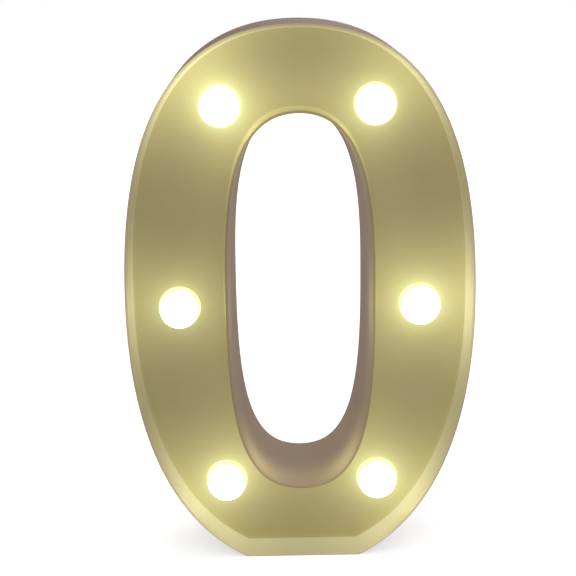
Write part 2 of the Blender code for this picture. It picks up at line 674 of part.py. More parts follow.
def make_cells(finish):
    """Two AA cells, the outer one with its positive end up and the inner one turned over."""
    radius = CELL_DIAMETER / 2
    nub = CELL_NUB_DIAMETER / 2
    profile = [(0.0, 0.0), (radius - CELL_SHOULDER, 0.0), (radius, CELL_SHOULDER),
               (radius, CELL_LENGTH - CELL_SHOULDER), (radius - CELL_SHOULDER, CELL_LENGTH),
               (nub, CELL_LENGTH), (nub, CELL_LENGTH + CELL_NUB_LENGTH),
               (0.0, CELL_LENGTH + CELL_NUB_LENGTH)]
    mesh = turned_mesh("battery_cell", profile, CELL_SEGMENTS)
    spring_side = CONTACT_ROOM + SPRING_LENGTH + SEAT_GAP
    outer = add_object("battery_cell_outer", mesh, finish,
                       (cell_x(1), CELL_Y, BAY_BOTTOM_Z + spring_side))
    outer.rotation_euler = (math.pi / 2, 0.0, 0.0)
    inner = add_object("battery_cell_inner", mesh, None,
                       (cell_x(-1), CELL_Y, BAY_TOP_Z - spring_side))
    inner.rotation_euler = (-math.pi / 2, 0.0, 0.0)


def make_contacts(finish):
    """Spring-steel plates: two with solder tabs at the top of the bay, and a link at its bottom."""
    plate_low = BAY_FLOOR_Y + SEAT_GAP
    inner = -SEAT_GAP - CONTACT_THICKNESS
    tab_end = BAY_WALL + SOLDER_TAB_LENGTH
    profile = [(inner, 0.0), (tab_end, 0.0), (tab_end, CONTACT_THICKNESS),
               (-SEAT_GAP, CONTACT_THICKNESS), (-SEAT_GAP, CONTACT_HEIGHT), (inner, CONTACT_HEIGHT)]
    mesh = drawn_mesh("tabbed_contact", [(-CONTACT_WIDTH / 2, y, z) for z, y in profile],
                      (CONTACT_WIDTH, 0.0, 0.0))
    add_object("positive_contact", mesh, finish, (cell_x(1), plate_low, BAY_TOP_Z))
    add_object("negative_contact", mesh, None, (cell_x(-1), plate_low, BAY_TOP_Z))

    half = (CELL_DIAMETER + CELL_GAP + CONTACT_WIDTH) / 2
    link = box_mesh("link_contact", (-half, 0.0, SEAT_GAP),
                    (half, CONTACT_HEIGHT, SEAT_GAP + CONTACT_THICKNESS))
    add_object("link_contact", link, finish, (BAY_X, plate_low, BAY_BOTTOM_Z))


def spring_points():
    """Axis of a conical spring, from its wide foot at zero upward."""
    count = round(SPRING_TURNS * SPRING_STEPS)
    rise = SPRING_LENGTH - SPRING_WIRE
    points = []
    for step in range(count + 1):
        share = step / count
        radius = SPRING_FOOT_RADIUS + (SPRING_TIP_RADIUS - SPRING_FOOT_RADIUS) * share
        angle = 2 * math.pi * SPRING_TURNS * share
        points.append(Vector((radius * math.cos(angle), radius * math.sin(angle),
                              SPRING_WIRE / 2 + rise * share)))
    return points


def least_gap(points, thickness, apart):
    """Least gap of a tube to itself between points that are more than so many steps apart."""
    gaps = [(a - b).length for i, a in enumerate(points) for b in points[i + apart:]]
    return min(gaps) - thickness


def tube_object(name, points, diameter, finish, place=(0.0, 0.0, 0.0)):
    """Round tube through a list of points, with closed ends."""
    curve = bpy.data.curves.new(name, "CURVE")
    curve.dimensions = "3D"
    curve.bevel_depth = diameter / 2
    curve.bevel_resolution = 1
    curve.use_fill_caps = True
    spline = curve.splines.new("POLY")
    spline.points.add(len(points) - 1)
    for target, point in zip(spline.points, points):
        target.co = (*point, 1.0)
    return add_object(name, curve, finish, place)


def make_springs(finish):
    """Conical springs that press on the negative end of each cell."""
    points = spring_points()
    gap = least_gap(points, SPRING_WIRE, SPRING_STEPS - 2)
    print("least gap between spring turns: %.2f mm" % (gap / MM))
    tube_object("link_spring", points, SPRING_WIRE, finish,
                (cell_x(1), CELL_Y, BAY_BOTTOM_Z + CONTACT_ROOM))
    turned_over = [Vector((point.x, -point.y, -point.z)) for point in points]
    tube_object("negative_spring", turned_over, SPRING_WIRE, finish,
                (cell_x(-1), CELL_Y, BAY_TOP_Z - CONTACT_ROOM))


def dome_profile():
    """Frosted cap: a round front on a short neck, with a flange behind the face."""
    centre = -FACE_THICKNESS - DOME_NECK_RISE
    inner = DOME_RADIUS - DOME_WALL
    flange_back = SEAT_GAP + FLANGE_THICKNESS
    outside = [(DOME_RADIUS * math.sin(a), centre - DOME_RADIUS * math.cos(a))
               for a in (math.pi / 2 * step / DOME_STEPS for step in range(DOME_STEPS + 1))]
    inside = [(inner * math.cos(a), centre - inner * math.sin(a))
              for a in (math.pi / 2 * step / HOLLOW_STEPS for step in range(HOLLOW_STEPS))]
    inside.append((0.0, centre - inner))
    return (outside + [(DOME_RADIUS, SEAT_GAP), (FLANGE_RADIUS, SEAT_GAP),
                       (FLANGE_RADIUS, flange_back), (inner, flange_back)] + inside)


def holder_profile():
    """Disc that closes the dome from behind and holds the LED, with a spigot in the dome's bore."""
    bore = LED_DIAMETER / 2 + FIT_GAP
    spigot = DOME_RADIUS - DOME_WALL - FIT_GAP
    return [(bore, HOLDER_FRONT - HOLDER_SPIGOT), (spigot, HOLDER_FRONT - HOLDER_SPIGOT),
            (spigot, HOLDER_FRONT), (FLANGE_RADIUS, HOLDER_FRONT),
            (FLANGE_RADIUS, HOLDER_BACK), (bore, HOLDER_BACK)]


def led_profile():
    """LED with a round tip and a flange that seats behind the holder."""
    radius = LED_DIAMETER / 2
    tip = LED_SEAT - LED_LENGTH
    points = [(radius * math.sin(a), tip + radius - radius * math.cos(a))
              for a in (math.pi / 2 * step / HOLLOW_STEPS for step in range(HOLLOW_STEPS + 1))]
    flange = radius + LED_FLANGE_WIDTH
    back = LED_SEAT + LED_FLANGE_THICKNESS
    return points + [(radius, LED_SEAT), (flange, LED_SEAT), (flange, back), (0.0, back)]


def lamp_route():
    """Lamps and the points between them that the two lamp wires follow, each with its name."""
    order = (FEED_ANGLE, "upper_right", 90.0, "upper_left", 145.0, "middle_left", 215.0,
             "lower_left", 270.0, "lower_right", 325.0, "middle_right")
    return [(stop, LAMPS[stop]) if stop in LAMPS else ("", stroke_place(stop, MIDDLE_SHARE))
            for stop in order]


def route_normals(route):
    """Unit vector (x, z) square to the route at each of its points, away from the middle."""
    normals = []
    spots = [spot for _, spot in route]
    for before, after in zip(spots[:1] + spots[:-1], spots[1:] + spots[-1:]):
        along = (after - before).normalized()
        normals.append(Vector((along.y, -along.x)))
    return normals


def make_lamps(dome_finish, holder_finish, led_finish):
    """Dome, holder and LED of each lamp, on one place that is turned so that its leads meet the wires."""
    dome = turned_mesh("lamp_dome", dome_profile(), LAMP_SEGMENTS)
    holder = turned_mesh("lamp_holder", holder_profile(), LAMP_SEGMENTS)
    led = turned_mesh("lamp_led", led_profile(), SMALL_SEGMENTS)
    half = LEAD_WIDTH / 2
    lead = box_mesh("led_lead", (-half, LED_SEAT + LED_FLANGE_THICKNESS - WELD, -half),
                    (half, LEAD_TIP, half))
    for mesh, finish in ((dome, dome_finish), (holder, holder_finish), (led, led_finish)):
        mesh.materials.append(finish)
    route = lamp_route()
    for (name, spot), normal in zip(route, route_normals(route)):
        if not name:
            continue
        turn = math.atan2(-normal.y, normal.x)
        place = add_place("lamp_place_" + name, (spot.x, FACE_BACK_Y, spot.y), turn)
        add_object("lamp_dome_" + name, dome, None, parent=place)
        add_object("lamp_holder_" + name, holder, None, parent=place)
        body = add_object("lamp_led_" + name, led, None, parent=place)
        leads = [add_object("led_lead_" + name, lead, None, (x, 0.0, 0.0), place)
                 for x in (-LEAD_PITCH / 2, LEAD_PITCH / 2)]
        combine(body, "UNION", leads)


def smooth_points(stops):
    """Points along a smooth curve through the stops, a set spacing apart.

    The speed at a stop is the mean of the speeds before and after it, weighted so that the nearer
    stop counts for more, and each stretch is the cubic that has these speeds at its ends.
    """
    runs = [end - start for start, end in zip(stops, stops[1:])]
    speeds = [runs[0].normalized()]
    for before, after in zip(runs, runs[1:]):
        whole = before.length + after.length
        speeds.append(before.normalized() * (after.length / whole)
                      + after.normalized() * (before.length / whole))
    speeds.append(runs[-1].normalized())
    points = []
    for start, run, leave, arrive in zip(stops, runs, speeds, speeds[1:]):
        end = start + run
        steps = max(2, round(run.length / WIRE_POINT_SPACING))
        for step in range(steps):
            t = step / steps
            points.append(start * (1 + 2 * t) * (1 - t)**2 + leave * run.length * t * (1 - t)**2
                          + end * (3 - 2 * t) * t**2 - arrive * run.length * t**2 * (1 - t))
    return points + [stops[-1]]


def make_wires(red_finish, black_finish, resistor_finish):
    """Leads from the bay to the switch, and the pair that runs from lamp to lamp."""
    pin_y = COVER_INNER_Y - SEAT_GAP - SWITCH_EAR_THICKNESS - SWITCH_DEPTH - SWITCH_PIN_LENGTH
    pin_side = SWITCH_X - SWITCH_TRAVEL - SWITCH_PIN_WIDTH / 2 - SEAT_GAP
    pin_middle = pin_y + SWITCH_PIN_LENGTH / 2
    total = 2 * RESISTOR_LEAD_LENGTH + RESISTOR_LENGTH
    radius = RESISTOR_DIAMETER / 2
    lead = RESISTOR_LEAD_DIAMETER / 2
    profile = [(0.0, 0.0), (lead, 0.0), (lead, RESISTOR_LEAD_LENGTH), (radius, RESISTOR_LEAD_LENGTH),
               (radius, RESISTOR_LEAD_LENGTH + RESISTOR_LENGTH),
               (lead, RESISTOR_LEAD_LENGTH + RESISTOR_LENGTH), (lead, total), (0.0, total)]
    resistor = add_object("resistor", turned_mesh("resistor", profile, SMALL_SEGMENTS),
                          resistor_finish, (pin_side, pin_middle, SWITCH_Z))
    resistor.rotation_euler = (0.0, 0.0, math.pi / 2)

    route = lamp_route()
    normals = route_normals(route)
    wire_y = FACE_BACK_Y + WIRE_LEVEL
    half_pitch = LEAD_PITCH / 2
    outer_stops = []
    inner_stops = []
    for (_, spot), normal in zip(route, normals):
        outside = spot + normal * half_pitch
        inside = spot - normal * half_pitch
        outer_stops.append(Vector((outside.x, wire_y, outside.y)))
        inner_stops.append(Vector((inside.x, wire_y, inside.y)))

    red_start = Vector((pin_side - total - SEAT_GAP, pin_middle, SWITCH_Z))
    red_bend = red_start - Vector((WIRE_STRAIGHT, 0.0, 0.0))
    tube_object("lamp_wire_red", smooth_points([red_start, red_bend, *inner_stops]), WIRE_DIAMETER,
                red_finish)

    tab_y = BAY_FLOOR_Y + SEAT_GAP + CONTACT_THICKNESS / 2
    tab_z = BAY_TOP_Z + BAY_WALL + SOLDER_TAB_LENGTH + SEAT_GAP
    black_start = Vector((cell_x(-1), tab_y, tab_z))
    rise = Vector((0.0, 0.0, WIRE_STRAIGHT))
    tube_object("lamp_wire_black", smooth_points([black_start, black_start + rise, *outer_stops]),
                WIRE_DIAMETER, black_finish)

    positive_start = Vector((cell_x(1), tab_y, tab_z))
    pin_end = Vector((SWITCH_X, pin_y - SEAT_GAP, SWITCH_Z))
    before_pin = pin_end - Vector((0.0, WIRE_STRAIGHT, 0.0))
    stops = [positive_start, positive_start + rise, before_pin, pin_end]
    tube_object("battery_wire", smooth_points(stops), WIRE_DIAMETER, red_finish)


def make_switch(body_finish, knob_finish, screw_finish):
    """Slide switch behind the cover, with its knob in the slot and its two screws."""
    top = COVER_INNER_Y - SEAT_GAP
    place = add_place("switch_place", (SWITCH_X, top, SWITCH_Z))
    half_length = SWITCH_LENGTH / 2
    half_width = SWITCH_WIDTH / 2
    back = -SWITCH_EAR_THICKNESS - SWITCH_DEPTH
    case = add_object("switch_body", box_mesh("switch_body", (-half_length, back, -half_width),
                                              (half_length, 0.0, half_width)), body_finish,
                      parent=place)
    ear_half = SWITCH_SCREW_PITCH / 2 + SWITCH_EAR_END
    ears_mesh = box_mesh("switch_ears", (-ear_half, -SWITCH_EAR_THICKNESS, -half_width),
                         (ear_half, 0.0, half_width))
    ears = add_object("switch_ears", ears_mesh, None, parent=place)
    pin_low = (-SWITCH_PIN_WIDTH / 2, back - SWITCH_PIN_LENGTH, -SWITCH_PIN_DEPTH / 2)
    pin_high = (SWITCH_PIN_WIDTH / 2, back + WELD, SWITCH_PIN_DEPTH / 2)
    pin = box_mesh("switch_pin", pin_low, pin_high)
    pins = [add_object("switch_pin", pin, None, (x, 0.0, 0.0), place)
            for x in (-SWITCH_TRAVEL, 0.0, SWITCH_TRAVEL)]
    pocket_half = KNOB_LENGTH / 2 + SWITCH_TRAVEL / 2 + FIT_GAP
    knob_half = KNOB_WIDTH / 2
    pocket = add_object("knob_pocket", box_mesh(
        "knob_pocket", (-pocket_half, -KNOB_SEAT_DEPTH, -knob_half - FIT_GAP),
        (pocket_half, OVERRUN, knob_half + FIT_GAP)), None, parent=place)
    hole = cylinder_mesh("ear_hole", SMALL_HOLE_RADIUS, back, OVERRUN, HOLE_SEGMENTS)
    holes = [add_object("ear_hole", hole, None, (x - SWITCH_X, 0.0, 0.0), place)
             for x in switch_screw_places()]
    combine(case, "UNION", [ears, *pins])
    combine(case, "DIFFERENCE", [pocket, *holes])

    knob_low = -KNOB_SEAT_DEPTH + SEAT_GAP
    knob_high = SEAT_GAP + COVER_THICKNESS + KNOB_RISE
    half_knob = KNOB_LENGTH / 2
    rib = KNOB_LENGTH / KNOB_RIBS
    steps = [(-half_knob, knob_low), (half_knob, knob_low)]
    for number in range(KNOB_RIBS):
        high = knob_high if number % 2 == 0 else knob_high - KNOB_RIB_HEIGHT
        right = half_knob - number * rib
        steps += [(right, high), (right - rib, high)]
    knob = drawn_mesh("switch_knob", [(x, y, -knob_half) for x, y in steps], (0.0, 0.0, KNOB_WIDTH))
    add_object("switch_knob", knob, knob_finish, (SWITCH_X - SWITCH_TRAVEL / 2, top, SWITCH_Z))

    screw = screw_mesh("switch_screw", SMALL_SHANK_DIAMETER / 2, SMALL_HEAD_DIAMETER / 2,
                       SMALL_HEAD_HEIGHT, SMALL_SCREW_LENGTH, SMALL_SEGMENTS)
    screw.materials.append(screw_finish)
    for side, x in zip(("left", "right"), switch_screw_places()):
        add_object("switch_screw_" + side, screw, None, (x, COVER_Y + SEAT_GAP, SWITCH_Z))


def screw_mesh(name, shank, head, head_height, length, segments):
    """Round-headed screw: its head's underside is at zero and its shank points forward."""
    shoulder = head * HEAD_ROUND_SHARE
    return turned_mesh(name, [(0.0, -length), (shank / 2, -length), (shank, -length + shank),
                              (shank, 0.0), (head, 0.0), (head, head_height / 2),
                              (shoulder, head_height), (0.0, head_height)], segments)


def make_cover_screws(finish):
    """Screws that hold the cover on the posts."""
    screw = screw_mesh("cover_screw", SCREW_SHANK_DIAMETER / 2, SCREW_HEAD_DIAMETER / 2,
                       SCREW_HEAD_HEIGHT, SCREW_LENGTH, SMALL_SEGMENTS)
    screw.materials.append(finish)
    seat = COVER_Y - COUNTERBORE_DEPTH + SEAT_GAP
    for name, spot in POSTS.items():
        add_object("cover_screw_" + name, screw, None, (spot.x, seat, spot.y))


for old in list(bpy.data.objects):
    bpy.data.objects.remove(old)

moulded = material("champagne_plastic", (0.55, 0.49, 0.30), 0.45)
frosted = material("frosted_dome", (1.0, 0.97, 0.85), 0.35, glow=3.0)
clear = material("clear_led", (1.0, 0.95, 0.80), 0.1)
white = material("white_plastic", (0.80, 0.80, 0.77), 0.5)
steel = material("plated_steel", (0.62, 0.62, 0.60), 0.3, metallic=1.0)
jacket = material("cell_jacket", (0.10, 0.11, 0.13), 0.35)
black = material("black_plastic", (0.03, 0.03, 0.03), 0.45)
red_sleeve = material("red_wire", (0.60, 0.04, 0.03), 0.5)
black_sleeve = material("black_wire", (0.03, 0.03, 0.03), 0.5)
ceramic = material("resistor_body", (0.55, 0.40, 0.22), 0.5)

make_front_shell(moulded)
make_back_cover(moulded)
make_battery_door(moulded)
make_cells(jacket)
make_contacts(steel)
make_springs(steel)
make_lamps(frosted, white, clear)
make_switch(black, black, steel)
make_cover_screws(steel)
make_wires(red_sleeve, black_sleeve, ceramic)
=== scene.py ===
"""Light-up marquee number, dressed as it looks when it is lit.

The shell, cover, door, domes, cells, springs, knob and screws are fine versions of the frame's
plain pieces. The other pieces keep their shape and get a finish. X runs across the front, -Y is
the side that is looked at, and Z is up. Sizes are in millimetres until a mesh is stored.
"""
import math

import bmesh
import bpy
import numpy as np
from mathutils import Matrix, Vector


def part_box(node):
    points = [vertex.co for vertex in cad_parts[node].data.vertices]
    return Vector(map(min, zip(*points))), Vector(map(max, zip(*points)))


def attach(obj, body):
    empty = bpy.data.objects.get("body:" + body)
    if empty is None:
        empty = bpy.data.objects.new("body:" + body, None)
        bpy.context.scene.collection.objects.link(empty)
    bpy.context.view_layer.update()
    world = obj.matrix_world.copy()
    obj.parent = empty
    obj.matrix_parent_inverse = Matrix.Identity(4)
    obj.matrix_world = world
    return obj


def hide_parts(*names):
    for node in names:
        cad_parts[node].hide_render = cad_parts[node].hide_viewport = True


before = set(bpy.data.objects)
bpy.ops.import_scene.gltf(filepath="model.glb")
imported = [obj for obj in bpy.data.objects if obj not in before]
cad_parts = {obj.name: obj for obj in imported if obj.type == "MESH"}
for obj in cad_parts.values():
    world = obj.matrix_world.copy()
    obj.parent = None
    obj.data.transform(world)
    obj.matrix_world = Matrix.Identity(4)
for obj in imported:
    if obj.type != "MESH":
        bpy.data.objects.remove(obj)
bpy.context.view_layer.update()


# ---- Front shell ----
# One moulding in champagne-coloured plastic: an outer wall, a wall round the opening and a sunk
# face between them. Behind the face it carries a collar for each lamp and a post for each screw.

MM = 0.001
SMOOTH_ANGLE = math.radians(35)


def as_points(name):
    """Lowest and highest corner of a piece of the frame, in millimetres."""
    low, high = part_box(name)
    return np.array(low) / MM, np.array(high) / MM


def quarters(half_width, rise, drop, widest_z, handles):
    """Right half of an outline as two cubic quarters, both drawn from its widest point.

    The handles at the top, beside the widest point and at the bottom are shares of the sizes.
    """
    top, side_above, side_below, bottom = handles
    upper = ((half_width, widest_z), (half_width, widest_z + side_above * rise),
             (top * half_width, widest_z + rise), (0, widest_z + rise))
    lower = ((half_width, widest_z), (half_width, widest_z - side_below * drop),
             (bottom * half_width, widest_z - drop), (0, widest_z - drop))
    return upper, lower


OUTER = quarters(70.0, 109.5, 114.8, 109.1, (0.823, 0.511, 0.787, 0.387))
OPENING = quarters(28.9, 77.5, 75.7, 107.0, (1.039, 0.389, 0.68, 0.80))
FOOT_STEPS, BEND_STEPS, LOWER_STEPS, UPPER_STEPS = 14, 6, 96, 118
BEND_REACH, HALVINGS, SMALL_STEP = 0.9, 40, 1e-4
BEND_POINTS, GUARD_SHARE, MERGE_DISTANCE = 5, 0.6, 1e-7
FRONT_Y, BACK_Y = -22.5, 22.5
FACE_Y, FACE_BACK_Y = -8.1, -6.1
OUTER_DRAFT, OPENING_DRAFT = 1.35, 1.9
SHELL_WALL, RIM_WIDTH, CHANNEL_TAPER = 2.0, 1.2, 0.85
RIM_ROUND, INNER_RIM_ROUND, BACK_ROUND, FACE_ROUND, BEHIND_ROUND = 0.5, 0.35, 0.3, 0.5, 0.4


def quarter_points(quarter, side, offset, t):
    """Points on a cubic quarter, moved out along its normal.

    The four corners are weighted by (1-t)^3, 3t(1-t)^2, 3t^2(1-t) and t^3, and the normal is the
    direction of the curve turned by a right angle.
    """
    a, b, c, d = (np.array(corner, float) for corner in quarter)
    t = t[..., None]
    u = 1 - t
    points = a * u**3 + 3 * b * t * u**2 + 3 * c * t**2 * u + d * t**3
    along = (b - a) * u**2 + 2 * (c - b) * t * u + (d - c) * t**2
    along /= np.linalg.norm(along, axis=-1, keepdims=True)
    return points + np.stack([along[..., 1], -along[..., 0]], -1) * side * offset


def outline_rows(line, offset, foot=None):
    """Closed loops (x, z) round the figure, one for each offset from an outline.

    Half a loop is the level foot, a short bend, the lower quarter and the upper quarter. The
    foot's end is where the lower quarter crosses its level, found by halving. The mirror image
    of the half closes the loop.
    """
    upper, lower = line
    offset = np.reshape(offset, (-1, 1, 1)).astype(float)
    rows = offset.shape[0]

    def on_lower(t):
        """Points on the lower quarter, moved out by the offsets."""
        return quarter_points(lower, -1, offset, t)

    if foot is None:
        steps = FOOT_STEPS + BEND_STEPS + LOWER_STEPS
        t = np.tile(1 - np.arange(steps) / steps, (rows, 1))
        low_part = on_lower(t)
    else:
        foot = np.reshape(foot, (-1, 1)).astype(float)
        near, far = np.zeros((rows, 1)), np.ones((rows, 1))
        for _ in range(HALVINGS):
            middle = (near + far) / 2
            above = on_lower(middle)[..., 1] > foot
            near, far = np.where(above, middle, near), np.where(above, far, middle)
        corner, beside = on_lower(near), on_lower(near - SMALL_STEP)
        leave = near - SMALL_STEP * BEND_REACH / np.linalg.norm(corner - beside, axis=-1)
        start = corner - (BEND_REACH, 0)
        end = on_lower(leave)
        s = (np.arange(FOOT_STEPS) / FOOT_STEPS)[None, :, None]
        level = np.concatenate([start[..., :1] * s, start[..., 1:] + 0 * s], -1)
        s = (np.arange(BEND_STEPS) / BEND_STEPS)[None, :, None]
        bend = start * (1 - s)**2 + 2 * corner * s * (1 - s) + end * s**2
        t = leave * (1 - np.arange(LOWER_STEPS) / LOWER_STEPS)
        low_part = np.concatenate([level, bend, on_lower(t)], 1)
    t = np.tile(np.linspace(0, 1, UPPER_STEPS + 1), (rows, 1))
    half = np.concatenate([low_part, quarter_points(upper, 1, offset, t)], 1)
    return np.concatenate([half, half[:, -2:0:-1] * (-1, 1)], 1)


def section_rows(corners, across=8):
    """Loops of points round a moulding whose section has the given corners, and their masks.

    A corner is (1 on the outer outline or 0 on the opening's, offset, foot, depth, radius, and
    two mask values for the stretch that follows it). It is rounded by the square curve
    (1-u)^2 a + 2u(1-u) b + u^2 c, with one more row on either side to keep the flats flat. A
    stretch that runs from one outline to the other is ruled in straight steps, and its masks
    change evenly to those of the next stretch.
    """
    corners = np.array(corners, float)
    outer, place, radius, masks = corners[:, :1], corners[:, 1:4], corners[:, 4:5], corners[:, 5:7]
    inward = np.where(outer == 1, (-1.0, 1.0, 0.0), (1.0, 0.0, 0.0))

    def direction(shift):
        """Way from each corner to its neighbour, inward where that lies on the other outline."""
        other = np.roll(corners, shift, 0)
        run = other[:, 1:4] - place
        run /= np.maximum(np.hypot(run[:, :1], run[:, 2:]), 1e-6)
        return np.where(other[:, :1] == outer, run, inward)

    before, after = direction(1), direction(-1)
    start, end = place + before * radius, place + after * radius
    bend = [start * (1 - u)**2 + 2 * place * u * (1 - u) + end * u**2
            for u in np.linspace(0, 1, BEND_POINTS)]
    guard = radius * GUARD_SHARE
    rows = np.stack([start + before * guard, *bend, end + after * guard], 1)
    share = np.linspace(0, 1, BEND_POINTS + 2)[None, :, None]
    masks_before = np.where(np.roll(outer, 1, 0) == outer, np.roll(masks, 1, 0), masks)
    shades = masks_before[:, None] * (1 - share) + masks[:, None] * share
    bends = []
    for k, here in enumerate(corners):
        line, foot = (OUTER, rows[k, :, 1]) if here[0] == 1 else (OPENING, None)
        flat = outline_rows(line, rows[k, :, 0], foot)
        depth = np.broadcast_to(rows[k, :, 2][:, None, None], flat.shape[:2] + (1,))
        bends.append(np.concatenate([flat[..., :1], depth, flat[..., 1:]], -1))
    s = np.linspace(0, 1, across + 1)[1:-1][:, None]
    loops, marks = [], []
    for k, loop in enumerate(bends):
        following = (k + 1) % len(bends)
        loops.append(loop)
        marks.append(shades[k])
        if corners[k, 0] != corners[following, 0]:
            loops.append(loop[-1] * (1 - s[..., None]) + bends[following][0] * s[..., None])
            marks.append(masks[k] * (1 - s) + masks[following] * s)
    return np.concatenate(loops), np.concatenate(marks)


def new_object(name, data):
    """Puts data into the scene as an object."""
    made = bpy.data.objects.new(name, data)
    bpy.context.scene.collection.objects.link(made)
    return made


def skin(name, rows, marks=None, ring=False):
    """Piece over loops of points: squares join each closed loop to the next.

    A ring's last loop meets its first. Otherwise the first and last loops lie on one point each,
    which the merging closes to a pole. Marks, two for each loop, go into the UV map.
    """
    count, stations = rows.shape[:2]
    i = np.arange(count if ring else count - 1)[:, None]
    j = np.arange(stations)[None, :]
    k, n = (j + 1) % stations, (i + 1) % count
    corners = np.stack(np.broadcast_arrays(i * stations + j, i * stations + k,
                                           n * stations + k, n * stations + j), -1)
    mesh = bpy.data.meshes.new(name)
    mesh.from_pydata((rows.reshape(-1, 3) * MM).tolist(), [], corners.reshape(-1, 4).tolist())
    if marks is not None:
        layer = mesh.uv_layers.new(name="masks")
        layer.data.foreach_set("uv", marks[corners.ravel() // stations].astype(np.float32).ravel())
    bm = bmesh.new()
    bm.from_mesh(mesh)
    bmesh.ops.remove_doubles(bm, verts=bm.verts, dist=MERGE_DISTANCE)
    bmesh.ops.recalc_face_normals(bm, faces=bm.faces)
    bm.to_mesh(mesh)
    bm.free()
    mesh.shade_smooth()
    mesh.set_sharp_from_angle(angle=SMOOTH_ANGLE)
    return new_object(name, mesh)


def full_turn(steps):
    """Angles of even steps round a circle."""
    return np.linspace(0, 2 * math.pi, steps, endpoint=False)


def turned(name, profile, place, steps=72, ring=False, marks=None):
    """Piece turned about an axis along Y: the profile (radius, y) goes round in a circle."""
    profile = np.array(profile, float)
    angle = full_turn(steps)
    radius, depth = profile[:, :1], profile[:, 1:]
    rows = np.stack([place[0] + radius * np.cos(angle), depth + 0 * angle,
                     place[1] + radius * np.sin(angle)], -1)
    if marks is not None:
        marks = np.tile(np.array(marks, float), (len(profile), 1))
    return skin(name, rows, marks, ring)


def joined(piece, operation, others):
    """Adds other closed shapes to a piece, or cuts them out of it, and keeps the result."""
    group = bpy.data.collections.new(piece.name + "_" + operation)
    for other in others:
        group.objects.link(other)
    step = piece.modifiers.new(operation, "BOOLEAN")
    step.operation = operation
    step.operand_type = "COLLECTION"
    step.collection = group
    step.solver = "MANIFOLD"
    graph = bpy.context.evaluated_depsgraph_get()
    shape = bpy.data.meshes.new_from_object(piece.evaluated_get(graph),
                                            preserve_all_data_layers=True, depsgraph=graph)
    piece.modifiers.clear()
    piece.data = shape
    shape.materials.clear()
    for other in others:
        bpy.data.objects.remove(other)
    bpy.data.collections.remove(group)
    shape.shade_smooth()
    shape.set_sharp_from_angle(angle=SMOOTH_ANGLE)
    return piece


def outer_at(y):
    """How far the outside has spread at a depth."""
    return OUTER_DRAFT * (y - FRONT_Y) / (BACK_Y - FRONT_Y)


def opening_at(y):
    """How far the opening has closed in at a depth."""
    return OPENING_DRAFT * (y - FRONT_Y) / (BACK_Y - FRONT_Y)


def middle_of(name):
    """Middle (x, z) of a piece of the frame."""
    low, high = as_points(name)
    return ((low + high) / 2)[[0, 2]]


LAMPS = [level + side for level in ("upper", "middle", "lower") for side in ("_right", "_left")]
POSTS = [level + side for level in ("top", "upper", "lower", "foot")
         for side in ("_left", "_right")]
BEHIND_Y = -6.6
COLLAR_INNER, COLLAR_OUTER, COLLAR_END_Y = 10.5, 11.9, -2.7
POST_RADIUS, PILOT_RADIUS, POST_END_Y, PILOT_END_Y = 3.2, 1.5, 18.7, 9.7
HOLE_RADIUS, HOLE_BEVEL, HOLE_END_Y = 8.6, 0.25, -5.1
OVERRUN = 1.0

lamp_spots = {name: middle_of("lamp_dome_" + name) for name in LAMPS}
post_spots = {name: middle_of("cover_screw_" + name) for name in POSTS}

channel_wall = RIM_WIDTH + CHANNEL_TAPER
shell_rows, shell_marks = section_rows([
    (1, 0.0, 0.0, FRONT_Y, RIM_ROUND, 0, 0),
    (1, OUTER_DRAFT, 0.0, BACK_Y, BACK_ROUND, 0, 0),
    (1, OUTER_DRAFT - SHELL_WALL, SHELL_WALL, BACK_Y, BACK_ROUND, 0, 0),
    (1, outer_at(FACE_BACK_Y) - SHELL_WALL, SHELL_WALL, FACE_BACK_Y, BEHIND_ROUND, 0, 0),
    (0, SHELL_WALL - opening_at(FACE_BACK_Y), 0.0, FACE_BACK_Y, BEHIND_ROUND, 0, 0),
    (0, SHELL_WALL - OPENING_DRAFT, 0.0, BACK_Y, BACK_ROUND, 0, 0),
    (0, -OPENING_DRAFT, 0.0, BACK_Y, BACK_ROUND, 0, 1),
    (0, 0.0, 0.0, FRONT_Y, RIM_ROUND, 0.5, 0),
    (0, RIM_WIDTH, 0.0, FRONT_Y, INNER_RIM_ROUND, 1, 0),
    (0, channel_wall, 0.0, FACE_Y, FACE_ROUND, 1, 0),
    (1, -channel_wall, channel_wall, FACE_Y, FACE_ROUND, 1, 1),
    (1, -RIM_WIDTH, RIM_WIDTH, FRONT_Y, INNER_RIM_ROUND, 1, 1),
])
shell = skin("shell_moulding", shell_rows, shell_marks, ring=True)
collars = [turned("collar_" + name, [
    (COLLAR_INNER, BEHIND_Y), (COLLAR_OUTER, BEHIND_Y), (COLLAR_OUTER, COLLAR_END_Y),
    (COLLAR_INNER, COLLAR_END_Y)], spot, ring=True) for name, spot in lamp_spots.items()]
posts = [turned("post_" + name, [
    (0, BEHIND_Y), (POST_RADIUS, BEHIND_Y), (POST_RADIUS, POST_END_Y), (PILOT_RADIUS, POST_END_Y),
    (PILOT_RADIUS, PILOT_END_Y), (0, PILOT_END_Y)], spot, 32) for name, spot in post_spots.items()]
shell = joined(shell, "UNION", collars + posts)
lamp_holes = [turned("hole_" + name, [
    (0, FACE_Y - OVERRUN), (HOLE_RADIUS + HOLE_BEVEL + OVERRUN, FACE_Y - OVERRUN),
    (HOLE_RADIUS + HOLE_BEVEL, FACE_Y), (HOLE_RADIUS, FACE_Y + HOLE_BEVEL),
    (HOLE_RADIUS, HOLE_END_Y), (0, HOLE_END_Y)], spot, marks=(1, 0))
    for name, spot in lamp_spots.items()]
shell = joined(shell, "DIFFERENCE", lamp_holes)


